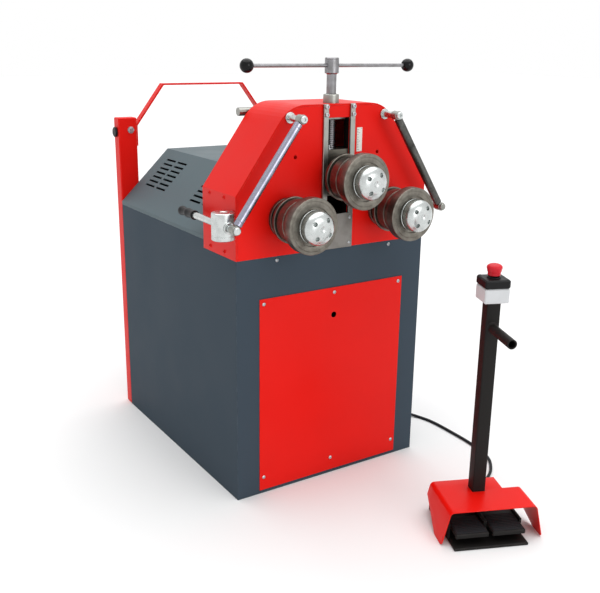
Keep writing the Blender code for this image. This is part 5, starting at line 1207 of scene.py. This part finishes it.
def build_camera():
    """Camera at the height and angle of a standing viewer, front left of the machine."""
    forward = Vector((math.sin(CAMERA_YAW) * math.cos(CAMERA_PITCH),
                      math.cos(CAMERA_YAW) * math.cos(CAMERA_PITCH),
                      -math.sin(CAMERA_PITCH)))
    right = Vector((math.cos(CAMERA_YAW), -math.sin(CAMERA_YAW), 0))
    up = right.cross(forward)
    turn = Matrix.Rotation(CAMERA_ROLL, 3, forward).inverted()
    axes = Matrix((turn @ right, turn @ up, -forward)).transposed()
    data = bpy.data.cameras.new("viewer")
    data.sensor_width = 36
    data.lens = CAMERA_LENS
    data.dof.use_dof = False
    data.clip_end = 200
    camera = bpy.data.objects.new("viewer", data)
    bpy.context.scene.collection.objects.link(camera)
    camera.matrix_world = Matrix.Translation(CAMERA_PLACE) @ axes.to_4x4()
    bpy.context.scene.camera = camera


def build_stage():
    """Floor, room, lamps, camera and view."""
    own = sizes("stage")
    build_floor(own.floor)
    build_room(own.room)
    soft_light("ceiling_light", (-0.06, -0.10, -0.99), own.ceiling, own.spread)
    soft_light("front_light", (-0.16, 0.97, -0.17), own.front, own.spread / 2)
    build_camera()
    bpy.context.scene.view_settings.view_transform = "Standard"


# Operators and panel

class Step:
    """What all of the steps share: each makes its calls in order."""
    bl_options = {"REGISTER"}
    calls = ()

    def execute(self, context):
        for call in self.calls:
            call()
        return {"FINISHED"}


class RING_ROLLER_OT_stage(Step, bpy.types.Operator):
    """Floor, room, lamps and camera"""
    bl_idname = "ring_roller.stage"
    bl_label = "Stage"
    calls = (build_stage,)


class RING_ROLLER_OT_finishes(Step, bpy.types.Operator):
    """Finishes of all CAD nodes"""
    bl_idname = "ring_roller.finishes"
    bl_label = "Finishes"
    calls = (dress_nodes,)


class RING_ROLLER_OT_cord(Step, bpy.types.Operator):
    """Cord of the foot console with its gland and strain relief"""
    bl_idname = "ring_roller.cord"
    bl_label = "Cord"
    calls = (dress_cord,)


class RING_ROLLER_OT_rollers(Step, bpy.types.Operator):
    """The three bending rollers and their nuts"""
    bl_idname = "ring_roller.rollers"
    bl_label = "Rollers"
    calls = (dress_rollers,)


class RING_ROLLER_OT_press(Step, bpy.types.Operator):
    """Press screw, T handle and the collar of its nut"""
    bl_idname = "ring_roller.press"
    bl_label = "Press screw"
    calls = (dress_press,)


class RING_ROLLER_OT_guides(Step, bpy.types.Operator):
    """Side guides with their feet, locking rod and grip"""
    bl_idname = "ring_roller.guides"
    bl_label = "Side guides"
    calls = (dress_guides,)


class RING_ROLLER_OT_bearings(Step, bpy.types.Operator):
    """Bearing flanges, their screws and the ram's grease nipple"""
    bl_idname = "ring_roller.bearings"
    bl_label = "Bearings"
    calls = (dress_bearings,)


class RING_ROLLER_OT_fasteners(Step, bpy.types.Operator):
    """Screws, bolts, the post's knob and the stroke scale"""
    bl_idname = "ring_roller.fasteners"
    bl_label = "Fasteners and scale"
    calls = (dress_fasteners, dress_scale)


class RING_ROLLER_OT_console(Step, bpy.types.Operator):
    """Foot console's column, guard, treads and stop button"""
    bl_idname = "ring_roller.console"
    bl_label = "Foot console"
    calls = (dress_console, dress_guard)


STEPS = (RING_ROLLER_OT_stage, RING_ROLLER_OT_finishes, RING_ROLLER_OT_cord,
         RING_ROLLER_OT_rollers, RING_ROLLER_OT_press, RING_ROLLER_OT_guides,
         RING_ROLLER_OT_bearings, RING_ROLLER_OT_fasteners, RING_ROLLER_OT_console)
GROUPS = {"colours": FinishColours, "rollers": RollerSizes, "fasteners": FastenerSizes,
          "console": ConsoleSizes, "stage": StageSettings}


class RING_ROLLER_PT_panel(bpy.types.Panel):
    """Lists the steps that dress the machine"""
    bl_label = "Ring roller"
    bl_idname = "RING_ROLLER_PT_panel"
    bl_space_type = "VIEW_3D"
    bl_region_type = "UI"
    bl_category = "Ring roller"

    def draw(self, context):
        for step in STEPS:
            self.layout.operator(step.bl_idname)
        for name in GROUPS:
            group = sizes(name)
            column = self.layout.column(heading=name.capitalize())
            for key in type(group).__annotations__:
                column.prop(group, key)


def register():
    """Add the classes and the settings to Blender."""
    for item in (*GROUPS.values(), *STEPS, RING_ROLLER_PT_panel):
        bpy.utils.register_class(item)
    for name, group in GROUPS.items():
        setattr(bpy.types.Scene, "ring_roller_" + name, bpy.props.PointerProperty(type=group))


def unregister():
    """Take them away again."""
    for name in GROUPS:
        delattr(bpy.types.Scene, "ring_roller_" + name)
    for item in reversed((*GROUPS.values(), *STEPS, RING_ROLLER_PT_panel)):
        bpy.utils.unregister_class(item)


def main():
    register()
    for step in STEPS:
        group, name = step.bl_idname.split(".")
        getattr(getattr(bpy.ops, group), name)()


if __name__ == "__main__":
    main()
